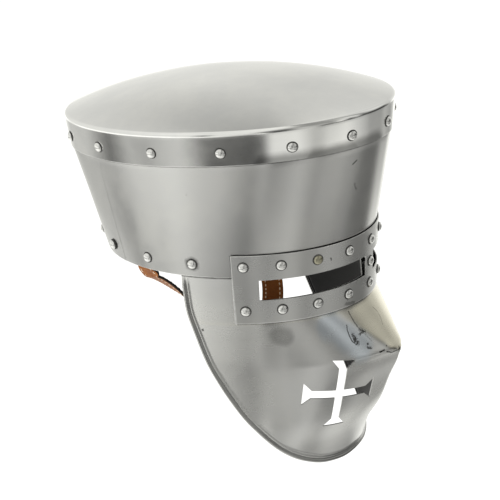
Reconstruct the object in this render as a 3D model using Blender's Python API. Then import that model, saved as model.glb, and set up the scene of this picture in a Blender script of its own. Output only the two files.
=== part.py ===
"""Templar helmet: domed crown cap, flared skull wall, eye band, face mask and chin strap.

Metres, +Z up, face towards -Y, the wearer's right towards -X. The shapes are worked out from the
middle of the skull wall's lower rim, and link() moves them so that the origin is the underside
of the crown at its top, where the head's top comes. Angles run round the helmet from the face,
positive to the wearer's right.
"""
import math

import bmesh
import bpy
import numpy as np

MM = 0.001
GAP = 0.3 * MM
PLATE = 1.2 * MM
FACET_ROOM = 0.1 * MM

# Crown cap
CROWN_HALF_LENGTH = 152.2 * MM
CROWN_HALF_WIDTH = 105.8 * MM
CROWN_SHIFT = 2.6 * MM
CROWN_HEIGHT = 124.9 * MM
CROWN_TILT = 0.05
DOME_RISE = 26.3 * MM
DOME_FULLNESS = 2.15
BEND_RADIUS = 5.0 * MM
FLANGE_DEPTH = 28.7 * MM
FLANGE_TAPER = 3.3 * MM

# Skull wall, which flares from its lower rim out to the crown
END_FLARE = 30.7 * MM
SIDE_FLARE = 6.8 * MM
RIM_HALF_LENGTH = CROWN_HALF_LENGTH - END_FLARE
RIM_HALF_WIDTH = CROWN_HALF_WIDTH - SIDE_FLARE
WALL_TOP_DROP = 12.0 * MM
LAP_START = 123.5
LAP_END = 150.0
LAP_TOP = 0.85
SEAT_DROP = 1.0 * MM

# Eye band
BAND_TOP = 20.0 * MM
BAND_BOTTOM = -41.4 * MM
BAND_REACH = 70.3
BAND_STAND_OFF = 0.6 * MM
SLOT_TOP = -2.5 * MM
SLOT_BOTTOM = -20.5 * MM
SLOT_NEAR_NOSE = 4.2
SLOT_FAR_END = 59.7

# Face mask
MASK_TOP = 16.0 * MM
MASK_DROP = 192.0 * MM
MASK_INSET = PLATE + GAP + FACET_ROOM
MASK_TUCK = 80.0
NOSE_REACH = 28.0 * MM
NOSE_TIP = -89.0 * MM
NOSE_TOP = -42.5 * MM
NOSE_SPREAD = 50.0
LIP_RAISE = 2.2 * MM
LIP_WIDTH = 6.5 * MM
LIP_TOP = -2.0 * MM
LIP_FADE = 6.0 * MM
EDGE_STEPS = 400
SOFTENING_STEPS = 25
LEAST_TURN = 0.3
MASK_STEPS = 35

# Cross
CROSS_HEIGHT = 62.0 * MM
CROSS_WIDTH = 62.0 * MM
CROSS_BAR = 7.6 * MM
CROSS_FLARE = 21.0 * MM
CROSS_FLARE_LENGTH = 7.5 * MM
CROSS_ANGLE = 30.5
CROSS_LEVEL = -116.5 * MM
CROSS_LEAN = 7.1

# Rivets
RIVET_HEAD_RADIUS = 4.0 * MM
RIVET_HEAD_HEIGHT = 3.0 * MM
RIVET_SHANK_RADIUS = 1.6 * MM
RIVET_TAIL_RADIUS = 2.8 * MM
RIVET_TAIL_HEIGHT = 1.0 * MM
RIVET_TAIL_GAP = 0.5 * MM
CAP_RIVETS = 15
CAP_RIVET_DROP = 17.0 * MM
REAR_RIVET_LEVEL = 11.0 * MM
REAR_RIVET_ANGLES = (86.0, 107.0, 131.0, 155.0, 180.0, -155.0, -131.0, -107.0, -86.0)
STRAP_RIVET_ANGLE = 107.0
MASK_RIVET_ANGLE = 86.0
BAND_RIVET_SPACING = 31.4 * MM
BAND_RIVETS_EACH_SIDE = 4
BAND_UPPER_LEVEL = 9.9 * MM
BAND_LOWER_LEVEL = -29.7 * MM

# Strap
STRAP_WIDTH = 20.0 * MM
STRAP_THICKNESS = 2.5 * MM
STRAP_ROOM = 1.1 * MM
STRAP_END_LEVEL = 20.0 * MM

# How far each cutting shape runs past the plates, outwards and inwards
SLOT_CUT = (8.0 * MM, -14.0 * MM)
CROSS_CUT = (25.0 * MM, -30.0 * MM)
HOLE_CUT = 6.0 * MM

RING_STEPS = 52
SLOT_STEPS = 10
RIVET_SIDES = 6

# How far to each side of a point its surface is probed for its slope
PROBE_TURN = 1.0
PROBE_RISE = 1.0 * MM

# Bend between the crown's flange and its dome: inset and rise as shares of BEND_RADIUS.
BEND_COLUMNS = ("inset", "rise")
BEND_PROFILE = (
    (0.11, -1.00),
    (0.16, -0.55),
    (0.39, -0.15),
)

# Rows of the dome, each a share of the crown's half length and half width.
DOME_ROWS = (0.96, 0.86, 0.67, 0.41, 0.15)

# Rows of the mask above its lip: share of the way from the lip to NOSE_TIP, from there to
# NOSE_TOP, and from there to the wall's rim.
MASK_LOW_ROWS = (0.25, 0.50, 0.75)
MASK_NOSE_ROWS = (0.0, 0.5)
MASK_BAND_ROWS = (0.0, 0.5)

# Where the mask's edge is high, its rows keep at least this share of the way up from the lip.
LEAST_NOSE_TIP = 0.10
LEAST_NOSE_TOP = 0.25
LEAST_RIM = 0.60

# Mask sections: level, half length, half width and nose forward reach, each a share of
# MASK_DROP, the tucked rim's half length, its half width and NOSE_REACH.
MASK_COLUMNS = ("level", "length", "width", "reach")
MASK_SECTIONS = (
    (0.00, 1.000, 1.000, 0.00),
    (-0.22, 1.008, 1.007, 0.00),
    (-0.31, 1.008, 1.012, 0.54),
    (-0.39, 1.012, 1.016, 0.86),
    (-0.465, 1.020, 1.012, 1.00),
    (-0.52, 1.020, 1.006, 0.86),
    (-0.59, 1.014, 0.998, 0.64),
    (-0.72, 0.985, 0.980, 0.36),
    (-0.85, 0.918, 0.955, 0.11),
    (-1.00, 0.852, 0.930, 0.00),
    (-1.10, 0.790, 0.910, 0.00),
)

# Free edge of the mask, from its tucked rear corner down to the chin: angle from the face in
# degrees and level as a share of MASK_DROP.
EDGE_COLUMNS = ("angle", "level")
MASK_EDGE = (
    (92.0, 0.083),
    (92.0, -0.01),
    (91.0, -0.18),
    (88.3, -0.26),
    (85.1, -0.37),
    (82.0, -0.455),
    (76.7, -0.57),
    (69.9, -0.69),
    (61.7, -0.785),
    (54.0, -0.858),
    (44.5, -0.918),
    (31.0, -0.968),
    (14.0, -0.990),
    (0.0, -0.984),
)

# Rolled lip of the mask: distance in from the free edge as a share of LIP_WIDTH and height as a
# share of LIP_RAISE.
LIP_COLUMNS = ("inward", "raise")
LIP_PROFILE = (
    (0.00, 0.45),
    (0.20, 1.00),
    (0.48, 0.85),
    (0.76, 0.15),
    (1.00, 0.00),
)

# Hanging stretch of the strap's centre line: across and along as shares of the rim's half width
# and half length, drop as a share of MASK_DROP, twist in degrees about the line.
STRAP_COLUMNS = ("across", "along", "drop", "twist")
STRAP_PATH = (
    (-0.910, 0.280, -0.030, 24.0),
    (-0.893, 0.200, -0.067, 46.0),
    (-0.870, 0.090, -0.112, 68.0),
    (-0.810, -0.020, -0.210, 62.0),
    (-0.690, -0.075, -0.360, 40.0),
    (-0.480, -0.070, -0.520, 18.0),
    (-0.220, -0.035, -0.625, 4.0),
    (0.050, 0.000, -0.660, 0.0),
    (0.350, 0.035, -0.640, 0.0),
    (0.610, 0.075, -0.580, 0.0),
    (0.790, 0.110, -0.500, 0.0),
    (0.880, 0.140, -0.405, 0.0),
    (0.905, 0.190, -0.280, 3.0),
    (0.915, 0.260, -0.130, 9.0),
)


def clear_scene():
    for obj in list(bpy.data.objects):
        bpy.data.objects.remove(obj, do_unlink=True)


def make_material(name, colour, roughness, metallic):
    material = bpy.data.materials.new(name)
    material.use_nodes = True
    shader = material.node_tree.nodes["Principled BSDF"]
    shader.inputs["Base Color"].default_value = (*colour, 1.0)
    shader.inputs["Roughness"].default_value = roughness
    shader.inputs["Metallic"].default_value = metallic
    material.diffuse_color = (*colour, 1.0)
    return material


def brushed_steel(name):
    return make_material(name, (0.50, 0.50, 0.47), 0.34, 1.0)


def polished_steel(name):
    return make_material(name, (0.72, 0.72, 0.70), 0.16, 1.0)


def strap_leather(name):
    return make_material(name, (0.36, 0.15, 0.045), 0.55, 0.0)


def column(rows, names, wanted):
    return [row[names.index(wanted)] for row in rows]


def ellipse(half_length, half_width, shift, phi):
    return -half_width * math.sin(phi), shift - half_length * math.cos(phi)


def crown_level(y, rise):
    return CROWN_HEIGHT + rise - CROWN_TILT * y


def crown_point(phi, inset, rise):
    x, y = ellipse(CROWN_HALF_LENGTH - inset, CROWN_HALF_WIDTH - inset, CROWN_SHIFT, phi)
    return np.array((x, y, crown_level(y, rise)))


def flange_point(phi, drop):
    return crown_point(phi, FLANGE_TAPER * drop / FLANGE_DEPTH, -drop)


def lap_height(phi):
    angle = math.degrees(phi) % 360.0
    if angle < LAP_START or angle > LAP_END:
        return 0.0
    return PLATE * (LAP_END - angle) / (LAP_END - LAP_START)


def seat_point(phi, inset=0.0):
    """Point of the wall's outer face just below the edge of the crown's flange."""
    return crown_point(phi, FLANGE_TAPER + PLATE + GAP + inset, -FLANGE_DEPTH - SEAT_DROP)


def wall_point(phi, level, inset=0.0):
    """Point of the skull wall's outer face, moved inwards by inset, at a height above the rim."""
    seat = seat_point(phi, inset)
    x, y = ellipse(RIM_HALF_LENGTH - inset, RIM_HALF_WIDTH - inset, 0.0, phi)
    share = min(level / seat[2], 1.0)
    return np.array((x + (seat[0] - x) * share, y + (seat[1] - y) * share, level))


def smooth_value(levels, values, level):
    """Cubic curve through the table's rows, flat beyond its ends."""
    if level >= levels[0]:
        return values[0]
    if level <= levels[-1]:
        return values[-1]
    i = max(k for k in range(len(levels) - 1) if levels[k] >= level)
    slopes = np.gradient(values, levels)
    step = levels[i + 1] - levels[i]
    t = (level - levels[i]) / step
    start = (1 + 2 * t) * (1 - t) ** 2 * values[i] + t * (1 - t) ** 2 * step * slopes[i]
    end = t * t * (3 - 2 * t) * values[i + 1] + t * t * (t - 1) * step * slopes[i + 1]
    return start + end


def nose_height(phi, level, reach):
    spread = max(0.0, 1.0 - abs(math.degrees(phi)) / NOSE_SPREAD)
    ridge = reach * NOSE_REACH * spread
    if level > NOSE_TIP:
        facet = NOSE_REACH * (NOSE_TOP - level) / (NOSE_TOP - NOSE_TIP)
        ridge = min(ridge, facet)
    return max(0.0, ridge)


def mask_point(phi, level):
    """Point of the mask's outer face before its lip is raised."""
    if level >= 0.0:
        return wall_point(phi, level, MASK_INSET)
    levels = [share * MASK_DROP for share in column(MASK_SECTIONS, MASK_COLUMNS, "level")]
    length = smooth_value(levels, column(MASK_SECTIONS, MASK_COLUMNS, "length"), level)
    width = smooth_value(levels, column(MASK_SECTIONS, MASK_COLUMNS, "width"), level)
    reach = smooth_value(levels, column(MASK_SECTIONS, MASK_COLUMNS, "reach"), level)
    half_length = length * (RIM_HALF_LENGTH - MASK_INSET)
    half_width = width * (RIM_HALF_WIDTH - MASK_INSET)
    x, y = ellipse(half_length, half_width, 0.0, phi)
    return np.array((x, y - nose_height(phi, level, reach), level))


def band_point(phi, level, inset=0.0):
    """Point of the eye band's outer face, moved inwards by inset."""
    top = wall_point(phi, BAND_TOP, -BAND_STAND_OFF - PLATE + inset)
    bottom = mask_point(phi, BAND_BOTTOM)
    away = np.array((bottom[0], bottom[1], 0.0))
    bottom = bottom + away / np.linalg.norm(away) * (GAP + FACET_ROOM + PLATE - inset)
    share = (BAND_TOP - level) / (BAND_TOP - BAND_BOTTOM)
    return top + (bottom - top) * share


def surface_frame(surface, phi, level):
    """Point and outward unit normal of a surface given by angle and level."""
    turn = math.radians(PROBE_TURN)
    point = surface(phi, level)
    around = surface(phi + turn, level) - surface(phi - turn, level)
    upward = surface(phi, level + PROBE_RISE) - surface(phi, level - PROBE_RISE)
    normal = np.cross(upward, around)
    normal = normal / np.linalg.norm(normal)
    if normal[0] * point[0] + normal[1] * point[1] < 0.0:
        normal = -normal
    return point, normal


def grid_normals(grid, closed):
    if closed:
        around = np.roll(grid, -1, axis=1) - np.roll(grid, 1, axis=1)
    else:
        around = np.gradient(grid, axis=1)
    down = np.gradient(grid, axis=0)
    normals = np.cross(around, down)
    normals /= np.linalg.norm(normals, axis=2)[:, :, None]
    return normals


def inner_grid(grid, thickness, closed):
    """The grid moved inwards along its own normals."""
    normals = grid_normals(grid, closed)
    middle = grid.reshape(-1, 3).mean(axis=0)
    if np.sum(normals * (grid - middle)) < 0.0:
        normals = -normals
    return grid - normals * thickness


def crown_underside():
    return np.array((0.0, CROWN_SHIFT, crown_level(CROWN_SHIFT, DOME_RISE) - PLATE))


def link(name, vertices, faces, material, smooth):
    origin = crown_underside()
    mesh = bpy.data.meshes.new(name)
    mesh.from_pydata([tuple(map(float, v - origin)) for v in vertices], [], faces)
    builder = bmesh.new()
    builder.from_mesh(mesh)
    bmesh.ops.recalc_face_normals(builder, faces=builder.faces)
    builder.to_mesh(mesh)
    builder.free()
    for polygon in mesh.polygons:
        polygon.use_smooth = smooth
    if material is not None:
        mesh.materials.append(material)
    obj = bpy.data.objects.new(name, mesh)
    bpy.context.scene.collection.objects.link(obj)
    return obj


def sheet_solid(name, outer, inner, closed, material):
    """Solid between two matching grids of points; closed grids run right round."""
    rows, steps = outer.shape[:2]
    vertices = np.concatenate([outer.reshape(-1, 3), inner.reshape(-1, 3)])
    shift = rows * steps
    faces = []
    for i in range(rows - 1):
        for j in range(steps if closed else steps - 1):
            k = (j + 1) % steps
            quad = (i * steps + j, i * steps + k, (i + 1) * steps + k, (i + 1) * steps + j)
            faces.append(quad)
            faces.append(tuple(shift + v for v in reversed(quad)))
    for row in (0, rows - 1):
        for j in range(steps if closed else steps - 1):
            a = row * steps + j
            b = row * steps + (j + 1) % steps
            faces.append((a, b, shift + b, shift + a))
    if not closed:
        for j in (0, steps - 1):
            for i in range(rows - 1):
                a = i * steps + j
                b = (i + 1) * steps + j
                faces.append((a, b, shift + b, shift + a))
    return link(name, vertices, faces, material, True)


def ring_angles():
    return [2.0 * math.pi * i / RING_STEPS for i in range(RING_STEPS)]


def cap_rows():
    """Rows of the cap's outer face from the flange's lower edge to near the top of the dome."""
    rows = [[flange_point(phi, FLANGE_DEPTH) for phi in ring_angles()]]
    for inset, rise in zip(column(BEND_PROFILE, BEND_COLUMNS, "inset"),
                           column(BEND_PROFILE, BEND_COLUMNS, "rise")):
        rows.append([crown_point(phi, inset * BEND_RADIUS, rise * BEND_RADIUS)
                     for phi in ring_angles()])
    for share in DOME_ROWS:
        rise = DOME_RISE * (1.0 - share ** DOME_FULLNESS)
        row = []
        for phi in ring_angles():
            x, y = ellipse(CROWN_HALF_LENGTH * share, CROWN_HALF_WIDTH * share, CROWN_SHIFT, phi)
            row.append((x, y, crown_level(y, rise)))
        rows.append(row)
    return np.array(rows)


def crown_cap(material):
    outer = cap_rows()
    inner = inner_grid(outer, PLATE, True)
    rows, steps = outer.shape[:2]
    shift = rows * steps
    vertices = [*outer.reshape(-1, 3), *inner.reshape(-1, 3)]
    top = np.array((0.0, CROWN_SHIFT, crown_level(CROWN_SHIFT, DOME_RISE)))
    vertices += [top, top - np.array((0.0, 0.0, PLATE))]
    faces = []
    for i in range(rows - 1):
        for j in range(steps):
            k = (j + 1) % steps
            quad = (i * steps + j, i * steps + k, (i + 1) * steps + k, (i + 1) * steps + j)
            faces.append(quad)
            faces.append(tuple(shift + v for v in reversed(quad)))
    last = (rows - 1) * steps
    for j in range(steps):
        k = (j + 1) % steps
        faces.append((j, k, shift + k, shift + j))
        faces.append((last + j, last + k, 2 * shift))
        faces.append((shift + last + k, shift + last + j, 2 * shift + 1))
    return link("crown_cap", vertices, faces, material, True)


def skull_wall(material):
    """Flared wall of one wrapped sheet, its outer end lapped at the wearer's right rear."""
    lap_edge = math.radians(LAP_START)
    lap_step = PLATE / (RIM_HALF_LENGTH + RIM_HALF_WIDTH)
    before = [a for a in ring_angles() if a < lap_edge - lap_step]
    after = [a for a in ring_angles() if a > lap_edge + 2 * lap_step]
    outer, inner = [], []
    for phi in before + [lap_edge, lap_edge + 0.1 * lap_step] + after:
        seat = seat_point(phi)
        levels = (0.0, LAP_TOP * seat[2], seat[2], crown_level(seat[1], -WALL_TOP_DROP))
        lap = lap_height(phi) if phi > lap_edge else 0.0
        outer.append([wall_point(phi, level, -rise)
                      for level, rise in zip(levels, (lap, lap, 0.0, 0.0))])
        inner.append([wall_point(phi, level, PLATE) for level in levels])
    outer = np.array(outer).transpose(1, 0, 2)
    inner = np.array(inner).transpose(1, 0, 2)
    return sheet_solid("skull_wall", outer, inner, True, material)


def band_angles():
    reach = math.radians(BAND_REACH)
    inside = [a for a in ring_angles() if a < reach - 0.02]
    right = inside + [reach]
    return [-a for a in reversed(right[1:])] + right


def eye_band(material):
    levels = (BAND_TOP, 0.5 * SLOT_TOP, BAND_BOTTOM)
    outer = [[band_point(phi, level) for phi in band_angles()] for level in levels]
    inner = [[band_point(phi, level, PLATE) for phi in band_angles()] for level in levels]
    return sheet_solid("eye_band", np.array(outer), np.array(inner), False, material)


def mask_edge(count):
    """Evenly spaced points of the mask's free edge as angle and level, right side to left."""
    angles = np.radians(column(MASK_EDGE, EDGE_COLUMNS, "angle"))
    levels = MASK_DROP * np.array(column(MASK_EDGE, EDGE_COLUMNS, "level"))
    angles = np.concatenate([angles, -angles[-2::-1]])
    levels = np.concatenate([levels, levels[-2::-1]])
    across = angles * 0.5 * (RIM_HALF_LENGTH + RIM_HALF_WIDTH)
    steps = np.hypot(np.diff(across), np.diff(levels))
    travel = np.concatenate([[0.0], np.cumsum(steps)])
    fine = np.linspace(0.0, travel[-1], EDGE_STEPS)
    fine_angles = np.interp(fine, travel, angles)
    fine_levels = np.interp(fine, travel, levels)
    kernel = np.hanning(SOFTENING_STEPS)
    kernel /= kernel.sum()
    half = SOFTENING_STEPS // 2
    for values in (fine_angles, fine_levels):
        before = 2 * values[0] - values[half:0:-1]
        after = 2 * values[-1] - values[-2:-2 - half:-1]
        values[:] = np.convolve(np.concatenate([before, values, after]), kernel, mode="valid")
    picks = np.linspace(0.0, travel[-1], count)
    return np.interp(picks, fine, fine_angles), np.interp(picks, fine, fine_levels)


def lip_height(level, inward):
    """Height of the rolled lip, none where the mask is tucked inside the wall."""
    if level > LIP_TOP:
        return 0.0
    fade = min(1.0, (LIP_TOP - level) / LIP_FADE)
    shares = column(LIP_PROFILE, LIP_COLUMNS, "inward")
    raises = column(LIP_PROFILE, LIP_COLUMNS, "raise")
    return fade * LIP_RAISE * float(np.interp(inward, shares, raises))


def mask_rows(low):
    """Levels and shares of the way up of the mask's rows above a lip that ends at level low."""
    height = MASK_TOP - low
    stops = [low, max(NOSE_TIP, low + LEAST_NOSE_TIP * height),
             max(NOSE_TOP, low + LEAST_NOSE_TOP * height), max(0.0, low + LEAST_RIM * height)]
    rows = []
    for start, stop, shares in ((0, 1, MASK_LOW_ROWS), (1, 2, MASK_NOSE_ROWS),
                                (2, 3, MASK_BAND_ROWS)):
        rows += [stops[start] + (stops[stop] - stops[start]) * share for share in shares]
    return rows + [stops[3], MASK_TOP]


def mask_grid(count):
    """Outer face of the mask: rows run inwards from the free edge to the top line."""
    radius = 0.5 * (RIM_HALF_LENGTH + RIM_HALF_WIDTH)
    angles, levels = mask_edge(count)
    tops = np.radians(np.linspace(MASK_TUCK, -MASK_TUCK, count))
    lips = column(LIP_PROFILE, LIP_COLUMNS, "inward")
    run = np.array([(tops - angles) * radius, MASK_TOP - levels])
    edge_way = np.array([np.gradient(angles) * radius, np.gradient(levels)])
    lengths = np.hypot(*run)
    turn = np.abs(run[0] * edge_way[1] - run[1] * edge_way[0]) / np.hypot(*edge_way)
    lip_shares = LIP_WIDTH / np.maximum(turn, LEAST_TURN * lengths)
    chin = LIP_WIDTH - MASK_DROP
    row_shares = [(height - chin) / (MASK_TOP - chin) for height in mask_rows(chin)]
    columns = []
    for angle, level, top, lip in zip(angles, levels, tops, lip_shares):
        places = [(inward * lip, level + (MASK_TOP - level) * inward * lip, inward)
                  for inward in lips]
        places += [(lip + (1.0 - lip) * share, height, 1.0)
                   for height, share in zip(mask_rows(places[-1][1]), row_shares)]
        points = []
        for share, height, inward in places:
            phi = angle + (top - angle) * share
            point, normal = surface_frame(mask_point, phi, height)
            points.append(point + normal * lip_height(height, inward))
        columns.append(points)
    return np.array(columns).transpose(1, 0, 2)


def face_mask(material):
    outer = mask_grid(MASK_STEPS)
    inner = inner_grid(outer, PLATE, False)
    return sheet_solid("face_mask", outer, inner, False, material)


def wall_inside(phi, level):
    return wall_point(phi, level, PLATE)


def strap_seat(angle, level):
    """Section of the strap where it lies flat inside the wall: middle, broad way, thin way."""
    point, normal = surface_frame(wall_inside, math.radians(angle), level)
    broad = np.cross(normal, (0.0, 0.0, math.copysign(1.0, angle)))
    broad /= np.linalg.norm(broad)
    return point - normal * (STRAP_ROOM + STRAP_THICKNESS / 2), broad, -normal


def strap_sections():
    """Sections of the whole loop, riveted end to riveted end."""
    places = []
    for row in STRAP_PATH:
        values = dict(zip(STRAP_COLUMNS, row))
        places.append((values["across"] * RIM_HALF_WIDTH, values["along"] * RIM_HALF_LENGTH,
                       values["drop"] * MASK_DROP))
    start = [strap_seat(STRAP_RIVET_ANGLE, level) for level in (STRAP_END_LEVEL, 0.0)]
    end = [strap_seat(-STRAP_RIVET_ANGLE, level) for level in (0.0, STRAP_END_LEVEL)]
    ways = np.gradient(np.array([start[-1][0], *places, end[0][0]]), axis=0)[1:-1]
    hanging = []
    for place, way, row in zip(np.array(places), ways, STRAP_PATH):
        way = way / np.linalg.norm(way)
        level_way = np.array((0.0, 1.0, 0.0))
        level_way -= way * np.dot(level_way, way)
        level_way /= np.linalg.norm(level_way)
        side_way = np.cross(way, level_way)
        twist = math.radians(row[STRAP_COLUMNS.index("twist")])
        broad = level_way * math.cos(twist) + side_way * math.sin(twist)
        thin = side_way * math.cos(twist) - level_way * math.sin(twist)
        hanging.append((place, broad, thin))
    return start + hanging + end


def chin_strap(material):
    """One loop of leather, both ends riveted inside the wall, its low stretch hanging free."""
    vertices, faces = [], []
    for place, broad, thin in strap_sections():
        w = broad * STRAP_WIDTH / 2
        t = thin * STRAP_THICKNESS / 2
        vertices += [place - w - t, place + w - t, place + w + t, place - w + t]
    last = len(vertices) - 4
    for base in range(0, last, 4):
        for k in range(4):
            m = (k + 1) % 4
            faces.append((base + k, base + m, base + 4 + m, base + 4 + k))
    faces += [(3, 2, 1, 0), tuple(last + k for k in range(4))]
    return link("chin_strap", vertices, faces, material, False)


def turned_solid(name, profile, point, axis, sides, material):
    """Solid of revolution from (radius, height) pairs, top pole first, bottom flat last."""
    side = np.cross(axis, (0.0, 0.0, 1.0))
    side /= np.linalg.norm(side)
    other = np.cross(axis, side)
    vertices = [point + axis * profile[0][1]]
    for radius, height in profile[1:]:
        for i in range(sides):
            turn = 2.0 * math.pi * i / sides
            reach = side * math.cos(turn) + other * math.sin(turn)
            vertices.append(point + axis * height + reach * radius)
    faces = [(0, 1 + i, 1 + (i + 1) % sides) for i in range(sides)]
    for ring in range(len(profile) - 2):
        start = 1 + ring * sides
        for i in range(sides):
            k = (i + 1) % sides
            faces.append((start + i, start + sides + i, start + sides + k, start + k))
    last = 1 + (len(profile) - 2) * sides
    faces.append(tuple(last + i for i in range(sides)))
    return link(name, vertices, faces, material, material is not None)


def rivet(name, seat, material):
    """Domed head outside, shank through the plates, flat tail inside."""
    point, axis, depth = seat
    profile = (
        (0.0, GAP + RIVET_HEAD_HEIGHT),
        (0.68 * RIVET_HEAD_RADIUS, GAP + 0.70 * RIVET_HEAD_HEIGHT),
        (RIVET_HEAD_RADIUS, GAP),
        (RIVET_SHANK_RADIUS, GAP),
        (RIVET_SHANK_RADIUS, -depth - RIVET_TAIL_GAP),
        (RIVET_TAIL_RADIUS, -depth - RIVET_TAIL_GAP),
        (RIVET_TAIL_RADIUS, -depth - RIVET_TAIL_GAP - RIVET_TAIL_HEIGHT),
    )
    return turned_solid(name, profile, point, axis, RIVET_SIDES, material)


def hole_cutter(name, seats):
    """All the rivet holes of one plate as a single guide shape."""
    vertices, faces = [], []
    radius = (RIVET_SHANK_RADIUS + GAP) / math.cos(math.pi / RIVET_SIDES)
    for point, axis, depth in seats:
        side = np.cross(axis, (0.0, 0.0, 1.0))
        side /= np.linalg.norm(side)
        other = np.cross(axis, side)
        base = len(vertices)
        for height in (HOLE_CUT, -depth - HOLE_CUT):
            for i in range(RIVET_SIDES):
                turn = 2.0 * math.pi * i / RIVET_SIDES
                spoke = side * math.cos(turn) + other * math.sin(turn)
                vertices.append(point + axis * height + spoke * radius)
        low = base + RIVET_SIDES
        faces.append(tuple(base + i for i in range(RIVET_SIDES)))
        faces.append(tuple(low + i for i in reversed(range(RIVET_SIDES))))
        for i in range(RIVET_SIDES):
            k = (i + 1) % RIVET_SIDES
            faces.append((base + k, base + i, low + i, low + k))
    return as_guide(link(name, vertices, faces, None, False))


def as_guide(obj):
    obj.hide_render = True
    obj.display_type = "WIRE"
    return obj


def split_faces(mesh):
    """Cut the mesh's bent quads into triangles, so that every face is flat."""
    builder = bmesh.new()
    builder.from_mesh(mesh)
    bmesh.ops.triangulate(builder, faces=builder.faces)
    builder.to_mesh(mesh)
    builder.free()


def joined_guide(guides):
    """One guide with the shapes of several that don't touch."""
    builder = bmesh.new()
    for guide in guides:
        builder.from_mesh(guide.data)
    mesh = bpy.data.meshes.new("cutter")
    builder.to_mesh(mesh)
    builder.free()
    for guide in guides:
        bpy.data.objects.remove(guide, do_unlink=True)
    joined = bpy.data.objects.new("cutter", mesh)
    bpy.context.scene.collection.objects.link(joined)
    return as_guide(joined)


def cut(target, guides):
    """Take the guides' volumes out of the target and remove the guides."""
    split_faces(target.data)
    guide = joined_guide(guides)
    modifier = target.modifiers.new("cut", "BOOLEAN")
    modifier.operation = "DIFFERENCE"
    modifier.solver = "EXACT"
    modifier.object = guide
    depsgraph = bpy.context.evaluated_depsgraph_get()
    mesh = bpy.data.meshes.new_from_object(target.evaluated_get(depsgraph))
    mesh.name = target.name
    target.modifiers.clear()
    target.data = mesh
    bpy.data.objects.remove(guide, do_unlink=True)


def slot_cutter(name, sign):
    """Block that cuts one eye slot through band and mask."""
    start = math.radians(SLOT_NEAR_NOSE)
    stop = math.radians(SLOT_FAR_END)
    angles = [start + (stop - start) * i / SLOT_STEPS for i in range(SLOT_STEPS + 1)]
    rows = [[], []]
    for row, away in zip(rows, SLOT_CUT):
        for phi in angles:
            x, y = ellipse(RIM_HALF_LENGTH + away, RIM_HALF_WIDTH + away, 0.0, sign * phi)
            row.append((x, y, 0.0))
    outer = np.array([rows[0], rows[0]])
    inner = np.array([rows[1], rows[1]])
    for grid in (outer, inner):
        grid[0, :, 2] = SLOT_TOP
        grid[1, :, 2] = SLOT_BOTTOM
    return as_guide(sheet_solid(name, outer, inner, False, None))


def cross_outline():
    """Corners of a flared cross round its centre, anticlockwise."""
    half = 0.5 * CROSS_BAR
    flare = 0.5 * CROSS_FLARE
    corners = []
    for quarter in range(4):
        length = 0.5 * (CROSS_WIDTH if quarter % 2 == 0 else CROSS_HEIGHT)
        neck = length - CROSS_FLARE_LENGTH
        turn = quarter * math.pi / 2
        for x, y in ((half, -half), (neck, -half), (length, -flare), (length, flare),
                     (neck, half)):
            corners.append((x * math.cos(turn) - y * math.sin(turn),
                            x * math.sin(turn) + y * math.cos(turn)))
    return corners


def cross_cutter(name):
    """Prism of the flared cross, square to the wearer's right cheek."""
    point, normal = surface_frame(mask_point, math.radians(CROSS_ANGLE), CROSS_LEVEL)
    forward = np.cross((0.0, 0.0, 1.0), normal)
    forward /= np.linalg.norm(forward)
    upward = np.cross(normal, forward)
    lean = math.radians(-CROSS_LEAN)
    right = forward * math.cos(lean) + upward * math.sin(lean)
    up = upward * math.cos(lean) - forward * math.sin(lean)
    corners = cross_outline()
    vertices = []
    for away in CROSS_CUT:
        for x, y in corners:
            vertices.append(point + normal * away + right * x + up * y)
    count = len(corners)
    faces = [tuple(range(count)), tuple(count + i for i in reversed(range(count)))]
    for i in range(count):
        k = (i + 1) % count
        faces.append((k, i, count + i, count + k))
    return as_guide(link(name, vertices, faces, None, False))


def depth_to(point, axis, surface, phi, level):
    """Distance inwards from the point along the axis to a surface given by angle and level."""
    place = np.array((phi, level))
    for _ in range(8):
        base = surface(*place) - point
        turned = surface(place[0] + 0.01, place[1]) - point
        raised = surface(place[0], place[1] + MM) - point
        slopes = np.array([turned - base, raised - base]).T
        solution = np.linalg.lstsq(np.column_stack([slopes, axis]), -base, rcond=None)[0]
        place = place + solution[:2] * (0.01, MM)
    return float(np.dot(point - surface(*place), axis))


def cap_rivet_seats():
    seats = []
    for i in range(CAP_RIVETS):
        phi = 2.0 * math.pi * i / CAP_RIVETS
        point, axis = surface_frame(lambda a, drop: flange_point(a, -drop), phi, -CAP_RIVET_DROP)
        seats.append((point, axis, depth_to(point, axis, wall_inside, phi, point[2])))
    return seats


def rear_rivet_seats():
    seats = []
    for angle in REAR_RIVET_ANGLES:
        phi = math.radians(angle)
        _, axis = surface_frame(wall_point, phi, REAR_RIVET_LEVEL)
        point = wall_point(phi, REAR_RIVET_LEVEL, -lap_height(phi))
        depth = depth_to(point, axis, wall_inside, phi, REAR_RIVET_LEVEL)
        if abs(angle) == STRAP_RIVET_ANGLE:
            depth += STRAP_ROOM + STRAP_THICKNESS
        if abs(angle) == MASK_RIVET_ANGLE:
            depth = depth_to(point, axis, mask_point, phi, REAR_RIVET_LEVEL) + PLATE
        seats.append((point, axis, depth))
    return seats


def band_rivet_angles():
    """Angles of the band's rivets, evenly spaced along its outer face from the nose."""
    fine = np.linspace(0.0, math.radians(BAND_REACH), 200)
    points = np.array([band_point(phi, 0.0) for phi in fine])
    travel = np.concatenate([[0.0], np.cumsum(np.linalg.norm(np.diff(points, axis=0), axis=1))])
    right = [float(np.interp(BAND_RIVET_SPACING * k, travel, fine))
             for k in range(BAND_RIVETS_EACH_SIDE + 1)]
    return [-a for a in reversed(right[1:])] + right


def band_rivet_seat(phi, level):
    point, axis = surface_frame(band_point, phi, level)
    depth = depth_to(point, axis, mask_point, phi, level) + PLATE
    return point, axis, depth


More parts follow.
